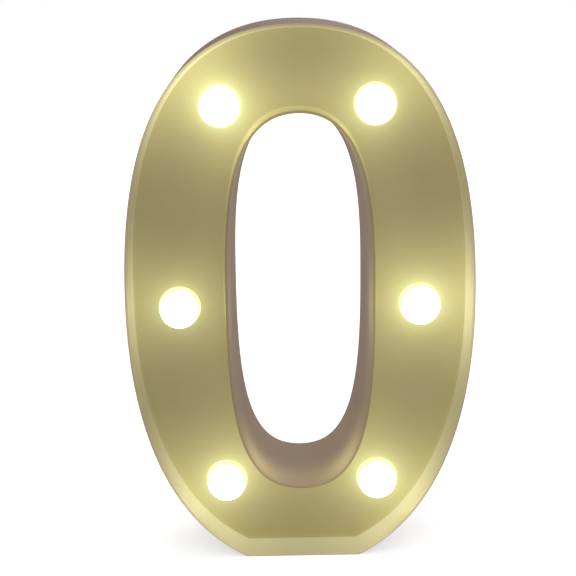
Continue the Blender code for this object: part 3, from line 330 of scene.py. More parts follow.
def feed(tree, inputs, given):
    """Gives inputs, by name or number, values or the outputs that feed them.

    A colour's alpha is added here.
    """
    for key, value in given.items():
        if isinstance(value, bpy.types.NodeSocket):
            tree.links.new(value, inputs[key])
        else:
            inputs[key].default_value = (*value, 1.0) if inputs[key].type == "RGBA" else value


def node(tree, kind, given=None, **settings):
    """Adds a shader node with its settings and feeds its inputs."""
    made = tree.nodes.new("ShaderNode" + kind)
    for key, setting in settings.items():
        setattr(made, key, setting)
    feed(tree, made.inputs, given or {})
    return made


def number(tree, operation, *given):
    """Result of a sum on one to three numbers."""
    return node(tree, "Math", dict(enumerate(given)), operation=operation).outputs[0]


def stepped(tree, value, low, high, first=0.0, last=1.0):
    """Soft step: the first result up to one value and the last from another."""
    return node(tree, "MapRange", {"Value": value, "From Min": low, "From Max": high,
                                   "To Min": first, "To Max": last},
                interpolation_type="SMOOTHSTEP").outputs[0]


def tinted(tree, factor, first, second, how="MIX"):
    """Two colours mixed, added or multiplied by a factor."""
    return node(tree, "Mix", {0: factor, 6: first, 7: second}, data_type="RGBA",
                blend_type=how).outputs[2]


def moved(tree, place, x, y, z):
    """A place moved by millimetres."""
    return node(tree, "VectorMath", {0: place, 1: (x * MM, y * MM, z * MM)}).outputs[0]


def make_group(name, given, put):
    """Empty group with inputs and outputs of these names and kinds."""
    group = bpy.data.node_groups.new(name, "ShaderNodeTree")
    for side, sockets in (("INPUT", given), ("OUTPUT", put)):
        for label, kind in sockets.items():
            group.interface.new_socket(label, in_out=side, socket_type="NodeSocket" + kind)
    ends = [group.nodes.new("NodeGroup" + end) for end in ("Input", "Output")]
    return group, ends[0].outputs, ends[1].inputs


# Unevenness of a moulded, drawn or plated surface: a cloudy tone about 0.5, and a fine height.
CLOUD_SHARE = 0.7
TONE_LOW, TONE_HIGH = 0.35, 0.65
BUMP_DEPTH = 0.1
grain, given, put = make_group(
    "surface_grain", {"Position": "Vector", "Cloud": "Float", "Grain": "Float"},
    {"Tone": "Float", "Height": "Float"})
clouds = node(grain, "TexNoise", {"Vector": given["Position"], "Scale": given["Cloud"],
                                  "Detail": 3.0, "Roughness": 0.55})
grains = node(grain, "TexNoise", {"Vector": given["Position"], "Scale": given["Grain"],
                                  "Detail": 2.0})
tone = number(grain, "MULTIPLY_ADD", clouds.outputs[0], CLOUD_SHARE,
              number(grain, "MULTIPLY", grains.outputs[0], 1 - CLOUD_SHARE))
feed(grain, put, {"Tone": tone, "Height": grains.outputs[0]})

# Light that the lit domes leave on the plastic round them: it fades with the distance from each
# lamp's middle as exp((lit radius - distance) / reach), and each lamp has its own strength.
LAMP_STRENGTHS = {"upper_right": 0.92, "upper_left": 1.26, "middle_right": 1.17,
                  "middle_left": 0.76, "lower_right": 1.02, "lower_left": 1.0}
DOME_CENTRE_Y, LIT_RADIUS = -9.6, 8.0
lamp_light, given, put = make_group(
    "lamp_light", {"Position": "Vector", "Reach": "Float"}, {"Light": "Float"})
total = 0.0
for name in LAMPS:
    spot = lamp_spots[name] * MM
    away = node(lamp_light, "VectorMath",
                {0: given["Position"], 1: (spot[0], DOME_CENTRE_Y * MM, spot[1])},
                operation="DISTANCE").outputs["Value"]
    fading = number(lamp_light, "DIVIDE", number(lamp_light, "SUBTRACT", LIT_RADIUS * MM, away),
                    given["Reach"])
    total = number(lamp_light, "MULTIPLY_ADD", number(lamp_light, "EXPONENT", fading),
                   LAMP_STRENGTHS[name], total)
feed(lamp_light, put, {"Light": total})


def grouped(tree, group, given):
    """Places a group in a material."""
    return node(tree, "Group", given, node_tree=group).outputs


def start_finish(name, cloud, fine, bump=0.0):
    """New material with the grain, whose height its normals follow where a bump is given.

    Puts out the material, its tree, its shader's inputs, the place that patterns read, and the
    grain's tone.
    """
    finish = bpy.data.materials.new(name)
    finish.use_nodes = True
    tree = finish.node_tree
    inputs = tree.nodes["Principled BSDF"].inputs
    place = node(tree, "TexCoord").outputs["Object"]
    surface = grouped(tree, grain, {"Position": place, "Cloud": cloud, "Grain": fine})
    if bump:
        height = node(tree, "Bump", {"Height": surface["Height"], "Strength": bump,
                                     "Distance": BUMP_DEPTH * MM})
        feed(tree, inputs, {"Normal": height.outputs[0]})
    return finish, tree, inputs, place, surface["Tone"]


def plain_finish(name, light, dark, roughness, cloud=80.0, fine=2500.0, bump=0.05, spread=0.08,
                 metallic=0.0, clear=0.0):
    """Finish of one colour whose tone, gloss and height vary with the grain."""
    finish, tree, inputs, _, tone = start_finish(name, cloud, fine, bump)
    tone = stepped(tree, tone, TONE_LOW, TONE_HIGH)
    gloss = number(tree, "MULTIPLY_ADD", tone, spread, roughness - spread / 2)
    feed(tree, inputs, {"Base Color": tinted(tree, tone, dark, light), "Roughness": gloss,
                        "Metallic": metallic, "Transmission Weight": clear})
    return finish


def finished(piece, *finishes):
    """Gives a piece its materials."""
    piece.data.materials.clear()
    for finish in finishes:
        piece.data.materials.append(finish)
    return piece


def in_colour(tree, amount, shade):
    """A colour times an amount that changes over the surface."""
    return tinted(tree, 1.0, shade, amount, "MULTIPLY")


def masks_of(tree):
    """The two masks that a piece carries in its UV map."""
    return node(tree, "SeparateXYZ", {0: node(tree, "UVMap", uv_map="masks").outputs[0]}).outputs


# Painted glow of the lamps: a wide one, lifted a little, and a close one lie on the channel, and
# one through the plastic on the opening's wall. That wall also gets a painted light, even over
# its depth and stronger toward the bottom. The reaches are in metres.
WIDE_REACH, CLOSE_REACH, THROUGH_REACH = 0.0185, 0.0032, 0.012
GLOW_LIFT, THROUGH_FORWARD = 2.1, 7.0
FACE_GLOW, WALL_GLOW = (0.460, 0.434, 0.166), (0.460, 0.440, 0.245)
CLOSE_GLOW = (0.27, 0.34, 0.16)
PAINTED_WALL_GLOW, THROUGH_GLOW = (0.062, 0.050, 0.032), (1.02, 0.87, 0.30)
FACE_DIP, FACE_RISE = -0.42, 0.87
INNER_WALL_SHARE, LOWEST_WALL_SHARE, OUTER_WALL_GAIN = 1.18, 1.9, 0.80
LOW_WALL_TOP_Z, LOW_WALL_FULL_Z = 15.0, 3.0
THROUGH_BACK_Y, THROUGH_FULL_Y = 6.0, -18.0
PAINTED_WALL_TOP_Z, PAINTED_WALL_FULL_Z, PAINTED_WALL_LOW_GAIN = 62.0, 36.0, 1.9


def moulded_finish(name, roughness, specular, metallic=0.0):
    """Champagne plastic: mauve outside, painted yellower in the channel for the lamps' warm light.

    The first mask is 1 in the channel. The second, v, grows from the channel's inner side to its
    outer one, and is 1 on the opening's wall. The face takes the share 1 + dip v + rise v^4 of the
    lamps' light, and the channel's walls more, most of all at the foot. On the opening's wall the
    square of the light shines through near the front.
    """
    finish, tree, inputs, place, tone = start_finish(name, cloud=45.0, fine=2200.0, bump=0.06)
    channel, outer = masks_of(tree)[:2]
    parts = node(tree, "SeparateXYZ", {0: place}).outputs
    depth, height = parts["Y"], parts["Z"]
    tone = stepped(tree, tone, TONE_LOW, TONE_HIGH)
    outside = tinted(tree, tone, (0.184, 0.118, 0.090), (0.204, 0.131, 0.100))
    # Painted light: the channel's colour is made yellower, standing in for the lamps' warm light on
    # it.
    inside = tinted(tree, tone, (0.147, 0.101, 0.049), (0.163, 0.113, 0.055))
    feed(tree, inputs, {"Base Color": tinted(tree, channel, outside, inside),
                        "Roughness": number(tree, "MULTIPLY_ADD", tone, 0.06, roughness),
                        "Specular IOR Level": specular, "Metallic": metallic})

    raised = stepped(tree, depth, (FACE_Y - 0.3) * MM, (FACE_Y - 1.5) * MM)
    on_face = number(tree, "MULTIPLY_ADD", number(tree, "POWER", outer, 4.0), FACE_RISE,
                     number(tree, "MULTIPLY_ADD", outer, FACE_DIP, 1.0))
    on_wall = number(tree, "MULTIPLY_ADD", outer, OUTER_WALL_GAIN,
                     stepped(tree, height, LOW_WALL_TOP_Z * MM, LOW_WALL_FULL_Z * MM,
                             INNER_WALL_SHARE, LOWEST_WALL_SHARE))
    share = number(tree, "ADD", number(tree, "MULTIPLY", raised, on_wall),
                   number(tree, "MULTIPLY", number(tree, "SUBTRACT", 1.0, raised), on_face))
    share = number(tree, "MULTIPLY", share, channel)
    wide = grouped(tree, lamp_light, {"Position": moved(tree, place, 0, 0, -GLOW_LIFT),
                                      "Reach": WIDE_REACH})["Light"]
    close = grouped(tree, lamp_light, {"Position": place, "Reach": CLOSE_REACH})["Light"]
    shade = tinted(tree, number(tree, "MULTIPLY", raised, outer), FACE_GLOW, WALL_GLOW)
    lit = tinted(tree, 1.0, in_colour(tree, number(tree, "MULTIPLY", wide, share), shade),
                 in_colour(tree, number(tree, "MULTIPLY", close, share), CLOSE_GLOW), "ADD")

    opening_wall = number(tree, "MULTIPLY", number(tree, "SUBTRACT", 1.0, channel), outer)
    in_front = stepped(tree, depth, THROUGH_BACK_Y * MM, THROUGH_FULL_Y * MM)
    beside = grouped(tree, lamp_light, {
        "Position": moved(tree, place, 0, THROUGH_FORWARD, -GLOW_LIFT),
        "Reach": THROUGH_REACH})["Light"]
    through = number(tree, "MULTIPLY", number(tree, "MULTIPLY", beside, beside),
                     number(tree, "MULTIPLY", in_front, opening_wall))
    # Painted light on the opening's wall: even over its depth, and stronger toward the bottom.
    painted_wall_light = number(tree, "MULTIPLY", opening_wall,
                    stepped(tree, height, PAINTED_WALL_TOP_Z * MM, PAINTED_WALL_FULL_Z * MM,
                            1.0, PAINTED_WALL_LOW_GAIN))
    opening_wall_glow = tinted(tree, 1.0, in_colour(tree, painted_wall_light, PAINTED_WALL_GLOW),
                    in_colour(tree, through, THROUGH_GLOW), "ADD")
    feed(tree, inputs, {"Emission Color": tinted(tree, 1.0, lit, opening_wall_glow, "ADD"),
                        "Emission Strength": 1.0})
    return finish


def split_by_mask(piece):
    """Gives the faces whose first mask is over a half the piece's second material."""
    mesh = piece.data
    loops = np.zeros(len(mesh.loops) * 2, np.float32)
    mesh.uv_layers["masks"].data.foreach_get("uv", loops)
    starts = np.zeros(len(mesh.polygons), np.int32)
    sizes = np.zeros(len(mesh.polygons), np.int32)
    mesh.polygons.foreach_get("loop_start", starts)
    mesh.polygons.foreach_get("loop_total", sizes)
    share = np.add.reduceat(loops[0::2], starts) / sizes
    mesh.polygons.foreach_set("material_index", (share > 0.5).astype(np.int32))


finished(shell, moulded_finish("champagne_outside", roughness=0.62, specular=0.08),
         moulded_finish("champagne_channel", roughness=0.30, specular=0.5, metallic=0.4))
split_by_mask(shell)
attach(shell, "case")
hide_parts("front_shell")


# ---- Lamp domes ----
# Six frosted caps, moulded in clear plastic with a ground surface. Each looks out of a hole in
# the face and is held behind it by its flange. Lit, they are white in front and yellow at the neck.

DOME_RADIUS, DOME_WALL = 8.3, 0.9
FLANGE_RADIUS, FLANGE_FRONT_Y, FLANGE_BACK_Y, FLANGE_ROUND = 10.2, -5.8, -4.6, 0.25
DOME_STEPS, HOLLOW_STEPS = 28, 14
DOME_GLOW, WHITE_TO_Y, YELLOW_FROM_Y = 9.0, -14.2, -11.6


def dome_profile():
    """Section (radius, y) of a dome: a half circle on a neck, a flange, and the hollow inside."""
    a = np.linspace(0, math.pi / 2, DOME_STEPS + 1)
    outside = np.stack([DOME_RADIUS * np.sin(a), DOME_CENTRE_Y - DOME_RADIUS * np.cos(a)], -1)
    inner = DOME_RADIUS - DOME_WALL
    edge, front, back, r = FLANGE_RADIUS, FLANGE_FRONT_Y, FLANGE_BACK_Y, FLANGE_ROUND
    a = np.linspace(math.pi / 2, 0, HOLLOW_STEPS + 1)
    inside = np.stack([inner * np.sin(a), DOME_CENTRE_Y - inner * np.cos(a)], -1)
    flange = [(DOME_RADIUS, front - 0.3), (DOME_RADIUS + 0.1, front - 0.07),
              (DOME_RADIUS + 0.3, front), (edge - r, front), (edge, front + r), (edge, back - r),
              (edge - r, back), (inner + 0.15, back), (inner, back - 0.15)]
    return np.concatenate([outside, flange, inside])


def frosted_finish():
    """Ground plastic lit from within: white over the front, pale yellow near the face."""
    finish, tree, inputs, place, tone = start_finish("frosted_dome", cloud=200.0, fine=4000.0,
                                                     bump=0.15)
    depth = node(tree, "SeparateXYZ", {0: place}).outputs["Y"]
    neck = stepped(tree, depth, WHITE_TO_Y * MM, YELLOW_FROM_Y * MM)
    feed(tree, inputs, {"Base Color": tinted(tree, tone, (0.50, 0.48, 0.37), (0.58, 0.56, 0.44)),
                        "Roughness": number(tree, "MULTIPLY_ADD", tone, 0.1, 0.4),
                        "Emission Color": tinted(tree, neck, (1.0, 0.97, 0.80),
                                                 (0.112, 0.108, 0.045)),
                        "Emission Strength": DOME_GLOW})
    return finish


frosted = frosted_finish()
for name, spot in lamp_spots.items():
    dome = finished(turned("dome_" + name, dome_profile(), spot, 96), frosted)
    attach(dome, "case")
    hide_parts("lamp_dome_" + name)


# ---- Lamp holders and LEDs ----
# A white moulded disc closes each dome from behind and holds a 5 mm LED in its bore. They keep
# the frame's shapes, since the domes and the shell hide them.

def refinish(nodes, finish):
    """Gives pieces of the frame a material through their own slots."""
    for name in nodes:
        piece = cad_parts[name]
        if not piece.material_slots:
            piece.data.materials.append(finish)
        for slot in piece.material_slots:
            slot.material = finish


refinish(["lamp_holder_" + name for name in LAMPS],
         plain_finish("holder_white", (0.80, 0.80, 0.77), (0.76, 0.76, 0.72), 0.5))
refinish(["lamp_led_" + name for name in LAMPS],
         plain_finish("led_resin", (1.0, 0.96, 0.84), (0.98, 0.93, 0.78), 0.1,
                      bump=0.01, spread=0.04, clear=0.6))


# ---- Wires and resistor ----
# Two stranded wires in soft sleeves run from lamp to lamp, and a third joins the bay to the
# switch. The resistor sits on the switch's pin. All of them lie inside the closed housing.

refinish(["lamp_wire_red", "battery_wire"],
         plain_finish("red_sleeve", (0.62, 0.045, 0.035), (0.52, 0.03, 0.025), 0.45))
refinish(["lamp_wire_black"],
         plain_finish("black_sleeve", (0.035, 0.035, 0.036), (0.02, 0.02, 0.021), 0.45))
refinish(["resistor"],
         plain_finish("resistor_body", (0.56, 0.42, 0.24), (0.48, 0.34, 0.18), 0.4))


# ---- Back cover ----
# A flat plate of the same plastic that closes the back inside the shell's rim. The battery bay is
# moulded in as a tub, and the plate has the hanging keyhole, the knob's slot and the screw seats.

COVER_Y, COVER_INNER_Y = 21.0, 19.0
COVER_EDGE = SHELL_WALL + 0.3
COVER_ROUND, COVER_INNER_ROUND = 0.35, 0.2
BAY_X, BAY_Z = 48.718, 107.1
BAY_WIDTH, BAY_LENGTH, BAY_FLOOR_Y = 29.6, 58.1, 4.1
BAY_TOP_Z, BAY_BOTTOM_Z = BAY_Z + BAY_LENGTH / 2, BAY_Z - BAY_LENGTH / 2
BAY_WALL, BAY_FLOOR, BAY_ROUND, TUB_ROUND = 2.2, 1.5, 0.5, 0.8
RIB_HALF, RIB_HEIGHT = 0.75, 3.0
DOOR_WIDTH, DOOR_LENGTH, DOOR_CORNER, DOOR_THICKNESS = 31.0, 59.5, 1.5, 1.7
HINGE_Z = BAY_Z - DOOR_LENGTH / 2
LATCH_Z = HINGE_Z + DOOR_LENGTH
FIT = 0.3
TAB_HALF, TAB_INSET, TAB_SLOT_FLOOR, TAB_SLOT_MOUTH = 2.25, 3.2, 4.3, 2.15
TAB_MIDDLES = (BAY_X - DOOR_WIDTH / 2 + TAB_INSET, BAY_X + DOOR_WIDTH / 2 - TAB_INSET)
CONTACT_SLOT_HALF, CONTACT_SLOT_DEPTH = 4.8, 1.0
NOTCH_RADIUS, NOTCH_ROUND, NOTCH_DEPTH = 6.0, 1.0, 1.1
KNOB_SLOT_HALF, KNOB_SLOT_RISE, KNOB_SLOT_ROUND, SWITCH_HOLE_RADIUS = 3.6, 1.8, 0.3, 1.1
SEAT_RADIUS, SEAT_HOLE_RADIUS, SEAT_DEPTH, SEAT_BEVEL = 2.6, 1.5, 1.0, 0.2
KEYHOLE_Z, KEYHOLE_SLOT, KEYHOLE_ENTRY, KEYHOLE_FALL = 201.55, 1.5, 2.8, 6.0
MOUTH_BEVEL, SHARP = 0.25, 0.02


def rounded_loop(half_width, low, high, radius, grow=0.0, steps=10):
    """Closed loop (x, z) of a plate with round corners: four quarter circles, one after another."""
    turn = np.linspace(0, math.pi / 2, steps + 1)
    reach = max(radius + grow, SHARP)
    side = half_width + grow - reach
    loop = [(x + reach * np.cos(turn + start), z + reach * np.sin(turn + start))
            for x, z, start in ((side, low - grow + reach, -math.pi / 2),
                                (side, high + grow - reach, 0),
                                (-side, high + grow - reach, math.pi / 2),
                                (-side, low - grow + reach, math.pi))]
    return np.concatenate([np.stack(part, -1) for part in loop])


def stacked(name, loops, depths, middle=(0.0, 0.0), place=(0.0, 0.0)):
    """Piece that follows loops (x, z) at growing depths, closed at both ends on a middle point."""
    loops = np.array(loops, float)
    depth = np.broadcast_to(np.reshape(depths, (-1, 1, 1)), loops.shape[:2] + (1,))
    rows = np.concatenate([loops[..., :1] + place[0], depth, loops[..., 1:] + place[1]], -1)
    end = np.array((middle[0] + place[0], 0.0, middle[1] + place[1]))
    caps = [np.tile(end + (0.0, depths[k], 0.0), (1, rows.shape[1], 1)) for k in (0, -1)]
    return skin(name, np.concatenate([caps[0], rows, caps[1]]))


def block(name, x, half, low, high, radius=SHARP):
    """Box about a middle x between two corners (y, z). Its edges along Y are a little rounded."""
    loop = rounded_loop(half, low[1], high[1], radius, steps=3)
    return stacked(name, [loop, loop], [low[0], high[0]], (0.0, (low[1] + high[1]) / 2), (x, 0.0))


def edged_cut(name, loop_at, place=(0.0, 0.0), middle=(0.0, 0.0),
              floor=COVER_INNER_Y - OVERRUN, bevel=MOUTH_BEVEL):
    """Cutter through the cover whose mouth is bevelled: loop_at(grow) gives its outline."""
    return stacked(name, [loop_at(0), loop_at(0), loop_at(bevel), loop_at(bevel + OVERRUN)],
                   [floor, COVER_Y - bevel, COVER_Y, COVER_Y + OVERRUN], middle, place)


def keyhole_loop(grow):
    """Closed loop of the keyhole: the slot's upper end, then round the entry below it."""
    slot, entry = KEYHOLE_SLOT + grow, KEYHOLE_ENTRY + grow
    a = np.linspace(0, math.pi, 17)
    opening = math.asin(slot / entry)
    b = np.linspace(math.pi / 2 + opening, 5 * math.pi / 2 - opening, 47)
    return np.concatenate([np.stack([slot * np.cos(a), slot * np.sin(a)], -1),
                           np.stack([entry * np.cos(b), entry * np.sin(b) - KEYHOLE_FALL], -1)])


cover = skin("cover_moulding", section_rows([
    (1, outer_at(COVER_Y) - COVER_EDGE, COVER_EDGE, COVER_Y, COVER_ROUND, 0, 0),
    (1, outer_at(COVER_INNER_Y) - COVER_EDGE, COVER_EDGE, COVER_INNER_Y, COVER_INNER_ROUND, 0, 0),
    (0, COVER_EDGE - opening_at(COVER_INNER_Y), 0.0, COVER_INNER_Y, COVER_INNER_ROUND, 0, 0),
    (0, COVER_EDGE - opening_at(COVER_Y), 0.0, COVER_Y, COVER_ROUND, 0, 0),
])[0], ring=True)
tub = block("tub", BAY_X, BAY_WIDTH / 2 + BAY_WALL,
            (BAY_FLOOR_Y - BAY_FLOOR, BAY_BOTTOM_Z - BAY_WALL),
            (COVER_Y - 0.5, BAY_TOP_Z + BAY_WALL), TUB_ROUND)
cover = joined(cover, "UNION", [tub])

mouth = edged_cut("door_mouth", lambda grow: rounded_loop(
    DOOR_WIDTH / 2 + FIT, HINGE_Z - FIT, LATCH_Z + FIT, DOOR_CORNER + FIT, grow),
    (BAY_X, 0.0), (0.0, BAY_Z), COVER_INNER_Y, 0.2)
hollow = block("bay_hollow", BAY_X, BAY_WIDTH / 2, (BAY_FLOOR_Y, BAY_BOTTOM_Z),
               (COVER_Y, BAY_TOP_Z), BAY_ROUND)
thumb_notch = turned("thumb_notch", [(0, COVER_Y - NOTCH_DEPTH)]
                     + [(NOTCH_RADIUS - NOTCH_ROUND * (1 - np.sin(a)),
                         COVER_Y - NOTCH_DEPTH + NOTCH_ROUND * (1 - np.cos(a)))
                        for a in np.linspace(0, math.pi / 2, 9)]
                     + [(NOTCH_RADIUS, COVER_Y + OVERRUN), (0, COVER_Y + OVERRUN)],
                     (BAY_X, LATCH_Z))
cuts = [mouth, hollow, thumb_notch]
for x in TAB_MIDDLES:
    floor_y = COVER_Y - TAB_SLOT_FLOOR
    cuts.append(block("tab_slot", x, TAB_HALF + FIT, (floor_y, BAY_BOTTOM_Z - BAY_WALL - OVERRUN),
                      (COVER_Y - TAB_SLOT_MOUTH, BAY_BOTTOM_Z + OVERRUN)))
    cuts.append(block("tab_notch", x, TAB_HALF + FIT, (floor_y, HINGE_Z - FIT / 2),
                      (COVER_Y - DOOR_THICKNESS, BAY_BOTTOM_Z + OVERRUN)))
for name in ("positive_contact", "negative_contact"):
    cuts.append(block("contact_slot", middle_of(name)[0], CONTACT_SLOT_HALF,
                      (BAY_FLOOR_Y, BAY_TOP_Z - OVERRUN),
                      (BAY_FLOOR_Y + CONTACT_SLOT_DEPTH, BAY_TOP_Z + BAY_WALL + OVERRUN)))
cuts.append(edged_cut("knob_slot", lambda grow: rounded_loop(
    KNOB_SLOT_HALF, -KNOB_SLOT_RISE, KNOB_SLOT_RISE, KNOB_SLOT_ROUND, grow, 4),
    middle_of("switch_body")))
turn = full_turn(40)
circle = np.stack([np.cos(turn), np.sin(turn)], -1)
for name in ("switch_screw_left", "switch_screw_right"):
    cuts.append(edged_cut(name + "_hole", lambda grow: (SWITCH_HOLE_RADIUS + grow) * circle,
                          middle_of(name)))
seat_y, mouth_radius = COVER_Y - SEAT_DEPTH, SEAT_RADIUS + SEAT_BEVEL
for name, spot in post_spots.items():
    cuts.append(turned("screw_seat_" + name, [
        (0, COVER_INNER_Y - OVERRUN), (SEAT_HOLE_RADIUS, COVER_INNER_Y - OVERRUN),
        (SEAT_HOLE_RADIUS, seat_y), (SEAT_RADIUS, seat_y), (SEAT_RADIUS, COVER_Y - SEAT_BEVEL),
        (mouth_radius, COVER_Y), (mouth_radius + OVERRUN, COVER_Y + OVERRUN),
        (0, COVER_Y + OVERRUN)], spot, 48))
cuts.append(edged_cut("keyhole", keyhole_loop, (0.0, KEYHOLE_Z), (0.0, -KEYHOLE_FALL)))
cover = joined(cover, "DIFFERENCE", cuts)
rib = block("bay_rib", BAY_X, RIB_HALF, (BAY_FLOOR_Y - 0.5, BAY_BOTTOM_Z + 1.0),
            (BAY_FLOOR_Y + RIB_HEIGHT, BAY_TOP_Z - 1.0))
cover = joined(cover, "UNION", [rib])

covering = plain_finish("champagne_cover", (0.230, 0.153, 0.118), (0.204, 0.134, 0.102), 0.40,
                        cloud=45.0, fine=1600.0, bump=0.12)
finished(cover, covering)
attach(cover, "case")
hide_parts("back_cover")


# ---- Switch ----
# A bought slide switch in black plastic, held behind the cover by two small screws. Its ribbed
# knob stands out of the cover's slot, and slides along it between off and on.

refinish(["switch_body"], plain_finish("switch_black", (0.045, 0.045, 0.046),
                                       (0.025, 0.025, 0.026), 0.4))


KNOB_EDGE, KNOB_RIDGE, KNOB_PITCH_SHARE, KNOB_SHARPNESS = 0.15, 0.4, 0.8, 0.6
KNOB_END = ((0.0, 0.2), (0.06, 0.06), (0.2, 0.0))


def knob_rows():
    """Loops (x, y) of the knob from its lower to its upper side, with the ends drawn in a little.

    Its outer face is a wave of ridges, height (1 - (0.5 + 0.5 cos(2 pi x / pitch))^sharpness).
    """
    low, high = as_points("switch_knob")
    half, middle = (high[0] - low[0]) / 2, (high[0] + low[0]) / 2
    edge = KNOB_EDGE
    x = np.linspace(edge - half, half - edge, 61)
    wave = 0.5 + 0.5 * np.cos(2 * math.pi * x / (KNOB_PITCH_SHARE * half))
    top = np.stack([x, high[1] - KNOB_RIDGE * (1 - wave**KNOB_SHARPNESS)], -1)
    side = [(half, high[1] - edge), (half, low[1] + edge), (half - edge, low[1]),
            (edge - half, low[1]), (-half, low[1] + edge), (-half, high[1] - edge)]
    loop = np.concatenate([top, side])
    centre = np.array((0.0, (low[1] + high[1]) / 2))
    levels = ([(low[2] + rise, draw) for rise, draw in KNOB_END]
              + [(high[2] - rise, draw) for rise, draw in KNOB_END[::-1]])
    rows = []
    for z, draw in levels:
        shrunk = centre + (loop - centre) * (1 - draw / np.array((half, (high[1] - low[1]) / 2)))
        rows.append(np.column_stack([shrunk[:, 0] + middle, shrunk[:, 1], np.full(len(loop), z)]))
    caps = [np.tile((middle, centre[1], z), (len(loop), 1)) for z in (low[2], high[2])]
    return np.array([caps[0], *rows, caps[1]])


knob = finished(skin("knob_ribbed", knob_rows()),
                plain_finish("knob_black", (0.05, 0.05, 0.051), (0.03, 0.03, 0.031),
                             0.45, cloud=300.0, fine=5000.0, bump=0.1))
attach(knob, "knob")
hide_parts("switch_knob")


SCREW_STEPS, THREAD_ROWS, CROWN_ROWS = 96, 60, 33
THREAD_END_Y, PITCH_SHARE, THREAD_SHARE = -0.6, 0.8, 0.2
CHAMFER, HEAD_SIDE_SHARE = 0.12, 0.35
ARM_SHARE, REACH_SHARE, END_SHARE, SUNK_SHARE = 0.15, 0.56, 0.22, 0.62


def screw_rows(spot, seat, shank, head, head_height, length, turn):
    """Loops round a screw from its tip to the middle of its head.

    The shank's radius follows a thread, a triangle wave of (y / pitch - angle / turn). The head's
    height falls off as the root of (1 - r^2), and a cross of two rounded bars is sunk into it.
    """
    angle = full_turn(SCREW_STEPS)[None, :]
    y = np.linspace(-length + shank, THREAD_END_Y, THREAD_ROWS)[:, None]
    pitch = shank * PITCH_SHARE
    wave = np.abs(((y / pitch - angle / (2 * math.pi)) % 1.0) * 2 - 1)
    fade = (np.clip((y + length - shank) / pitch, 0, 1)
            * np.clip((THREAD_END_Y - y) / pitch, 0, 1))
    level = [(0.0, -length), (shank * 0.45, -length + 0.05), (shank, 0.0), (head - CHAMFER, 0.0),
             (head, CHAMFER), (head, head_height * HEAD_SIDE_SHARE)]
    parts = [(np.array([[radius]]), np.array([[height]])) for radius, height in level]
    parts.insert(2, (shank * (1 - THREAD_SHARE * wave * fade), y))
    share = np.sin(np.linspace(math.pi / 2, 0, CROWN_ROWS + 1))[1:, None]
    radius = head * share * np.ones_like(angle)
    crown = head_height * (HEAD_SIDE_SHARE + (1 - HEAD_SIDE_SHARE) * np.sqrt(1 - share**2))
    p, q = radius * np.cos(angle + turn), radius * np.sin(angle + turn)
    arm, reach = head * ARM_SHARE, head * REACH_SHARE

    def bar(across, along):
        """Depth of one bar: 1 along its middle, falling evenly to 0 at its sides and ends."""
        width = np.clip((arm * 1.25 - np.abs(across)) / (arm * 0.5), 0, 1)
        end = np.clip((reach - np.abs(along)) / (head * END_SHARE), 0, 1)
        return width * end

    sunk = np.maximum(bar(p, q), bar(q, p)) * head_height * SUNK_SHARE
    parts.append((radius, crown - sunk))
    return np.concatenate([np.stack([
        spot[0] + radii * np.cos(angle), seat + heights + 0 * angle,
        spot[1] + radii * np.sin(angle)], -1) for radii, heights in parts])


# Seat's depth, radius of shank and head, head's height, and length under the head.
SWITCH_SCREW = (21.3, 0.8, 1.6, 1.0, 4.5)
plated = plain_finish("plated_steel", (0.66, 0.66, 0.64), (0.52, 0.52, 0.50), 0.3, cloud=250.0,
                      fine=3500.0, bump=0.08, spread=0.12, metallic=1.0)
for name, turn in (("switch_screw_left", 0.35), ("switch_screw_right", 1.1)):
    rows = screw_rows(middle_of(name), *SWITCH_SCREW, turn)
    screw = finished(skin(name + "_cross", rows), plated)
    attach(screw, "case")
    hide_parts(name)


# ---- Contacts and springs ----
# Plates of plated spring steel at both ends of the bay, and two conical springs of 0.7 mm wire
# that press on the cells' negative ends. The plates keep the frame's shape.

refinish(["positive_contact", "negative_contact", "link_contact"], plated)
SPRING_WIRE, SPRING_LENGTH, SPRING_TURNS = 0.7, 5.3, 3.5
SPRING_FOOT, SPRING_TIP, SPRING_ROWS, SPRING_END_SHARE = 4.2, 2.8, 150, 0.01
CELL_Y, CELL_SIDE, CONTACT_THICKNESS = 11.5, 7.3, 1.0


def spring_rows(x, foot_z, up):
    """Loops round a wire that climbs a cone: its radius and its height grow with the angle.

    Each loop is a circle of the wire's radius across the direction of the wire. It shrinks to
    nothing at both ends as a half circle does.
    """
    ends = np.linspace(0, 1, 5)[:-1]
    s = np.concatenate([ends * SPRING_END_SHARE,
                        np.linspace(SPRING_END_SHARE, 1 - SPRING_END_SHARE, SPRING_ROWS),
                        1 - ends[::-1] * SPRING_END_SHARE])
    angle = 2 * math.pi * SPRING_TURNS * s
    radius = SPRING_FOOT + (SPRING_TIP - SPRING_FOOT) * s
    rise = SPRING_WIRE / 2 + (SPRING_LENGTH - SPRING_WIRE) * s
    path = np.stack([x + radius * np.cos(angle), CELL_Y + up * radius * np.sin(angle),
                     foot_z + up * rise], -1)
    along = np.gradient(path, axis=0)
    along /= np.linalg.norm(along, axis=1, keepdims=True)
    out = np.stack([np.cos(angle), up * np.sin(angle), 0 * angle], -1)
    out -= along * (out * along).sum(1, keepdims=True)
    out /= np.linalg.norm(out, axis=1, keepdims=True)
    third = np.cross(along, out)
    closing = np.sqrt(1 - (1 - ends)**2)
    shrink = np.concatenate([closing, np.ones(SPRING_ROWS), closing[::-1]])
    turn = full_turn(12)[None, :, None]
    across = out[:, None] * np.cos(turn) + third[:, None] * np.sin(turn)
    return path[:, None] + across * (SPRING_WIRE / 2 * shrink)[:, None, None]


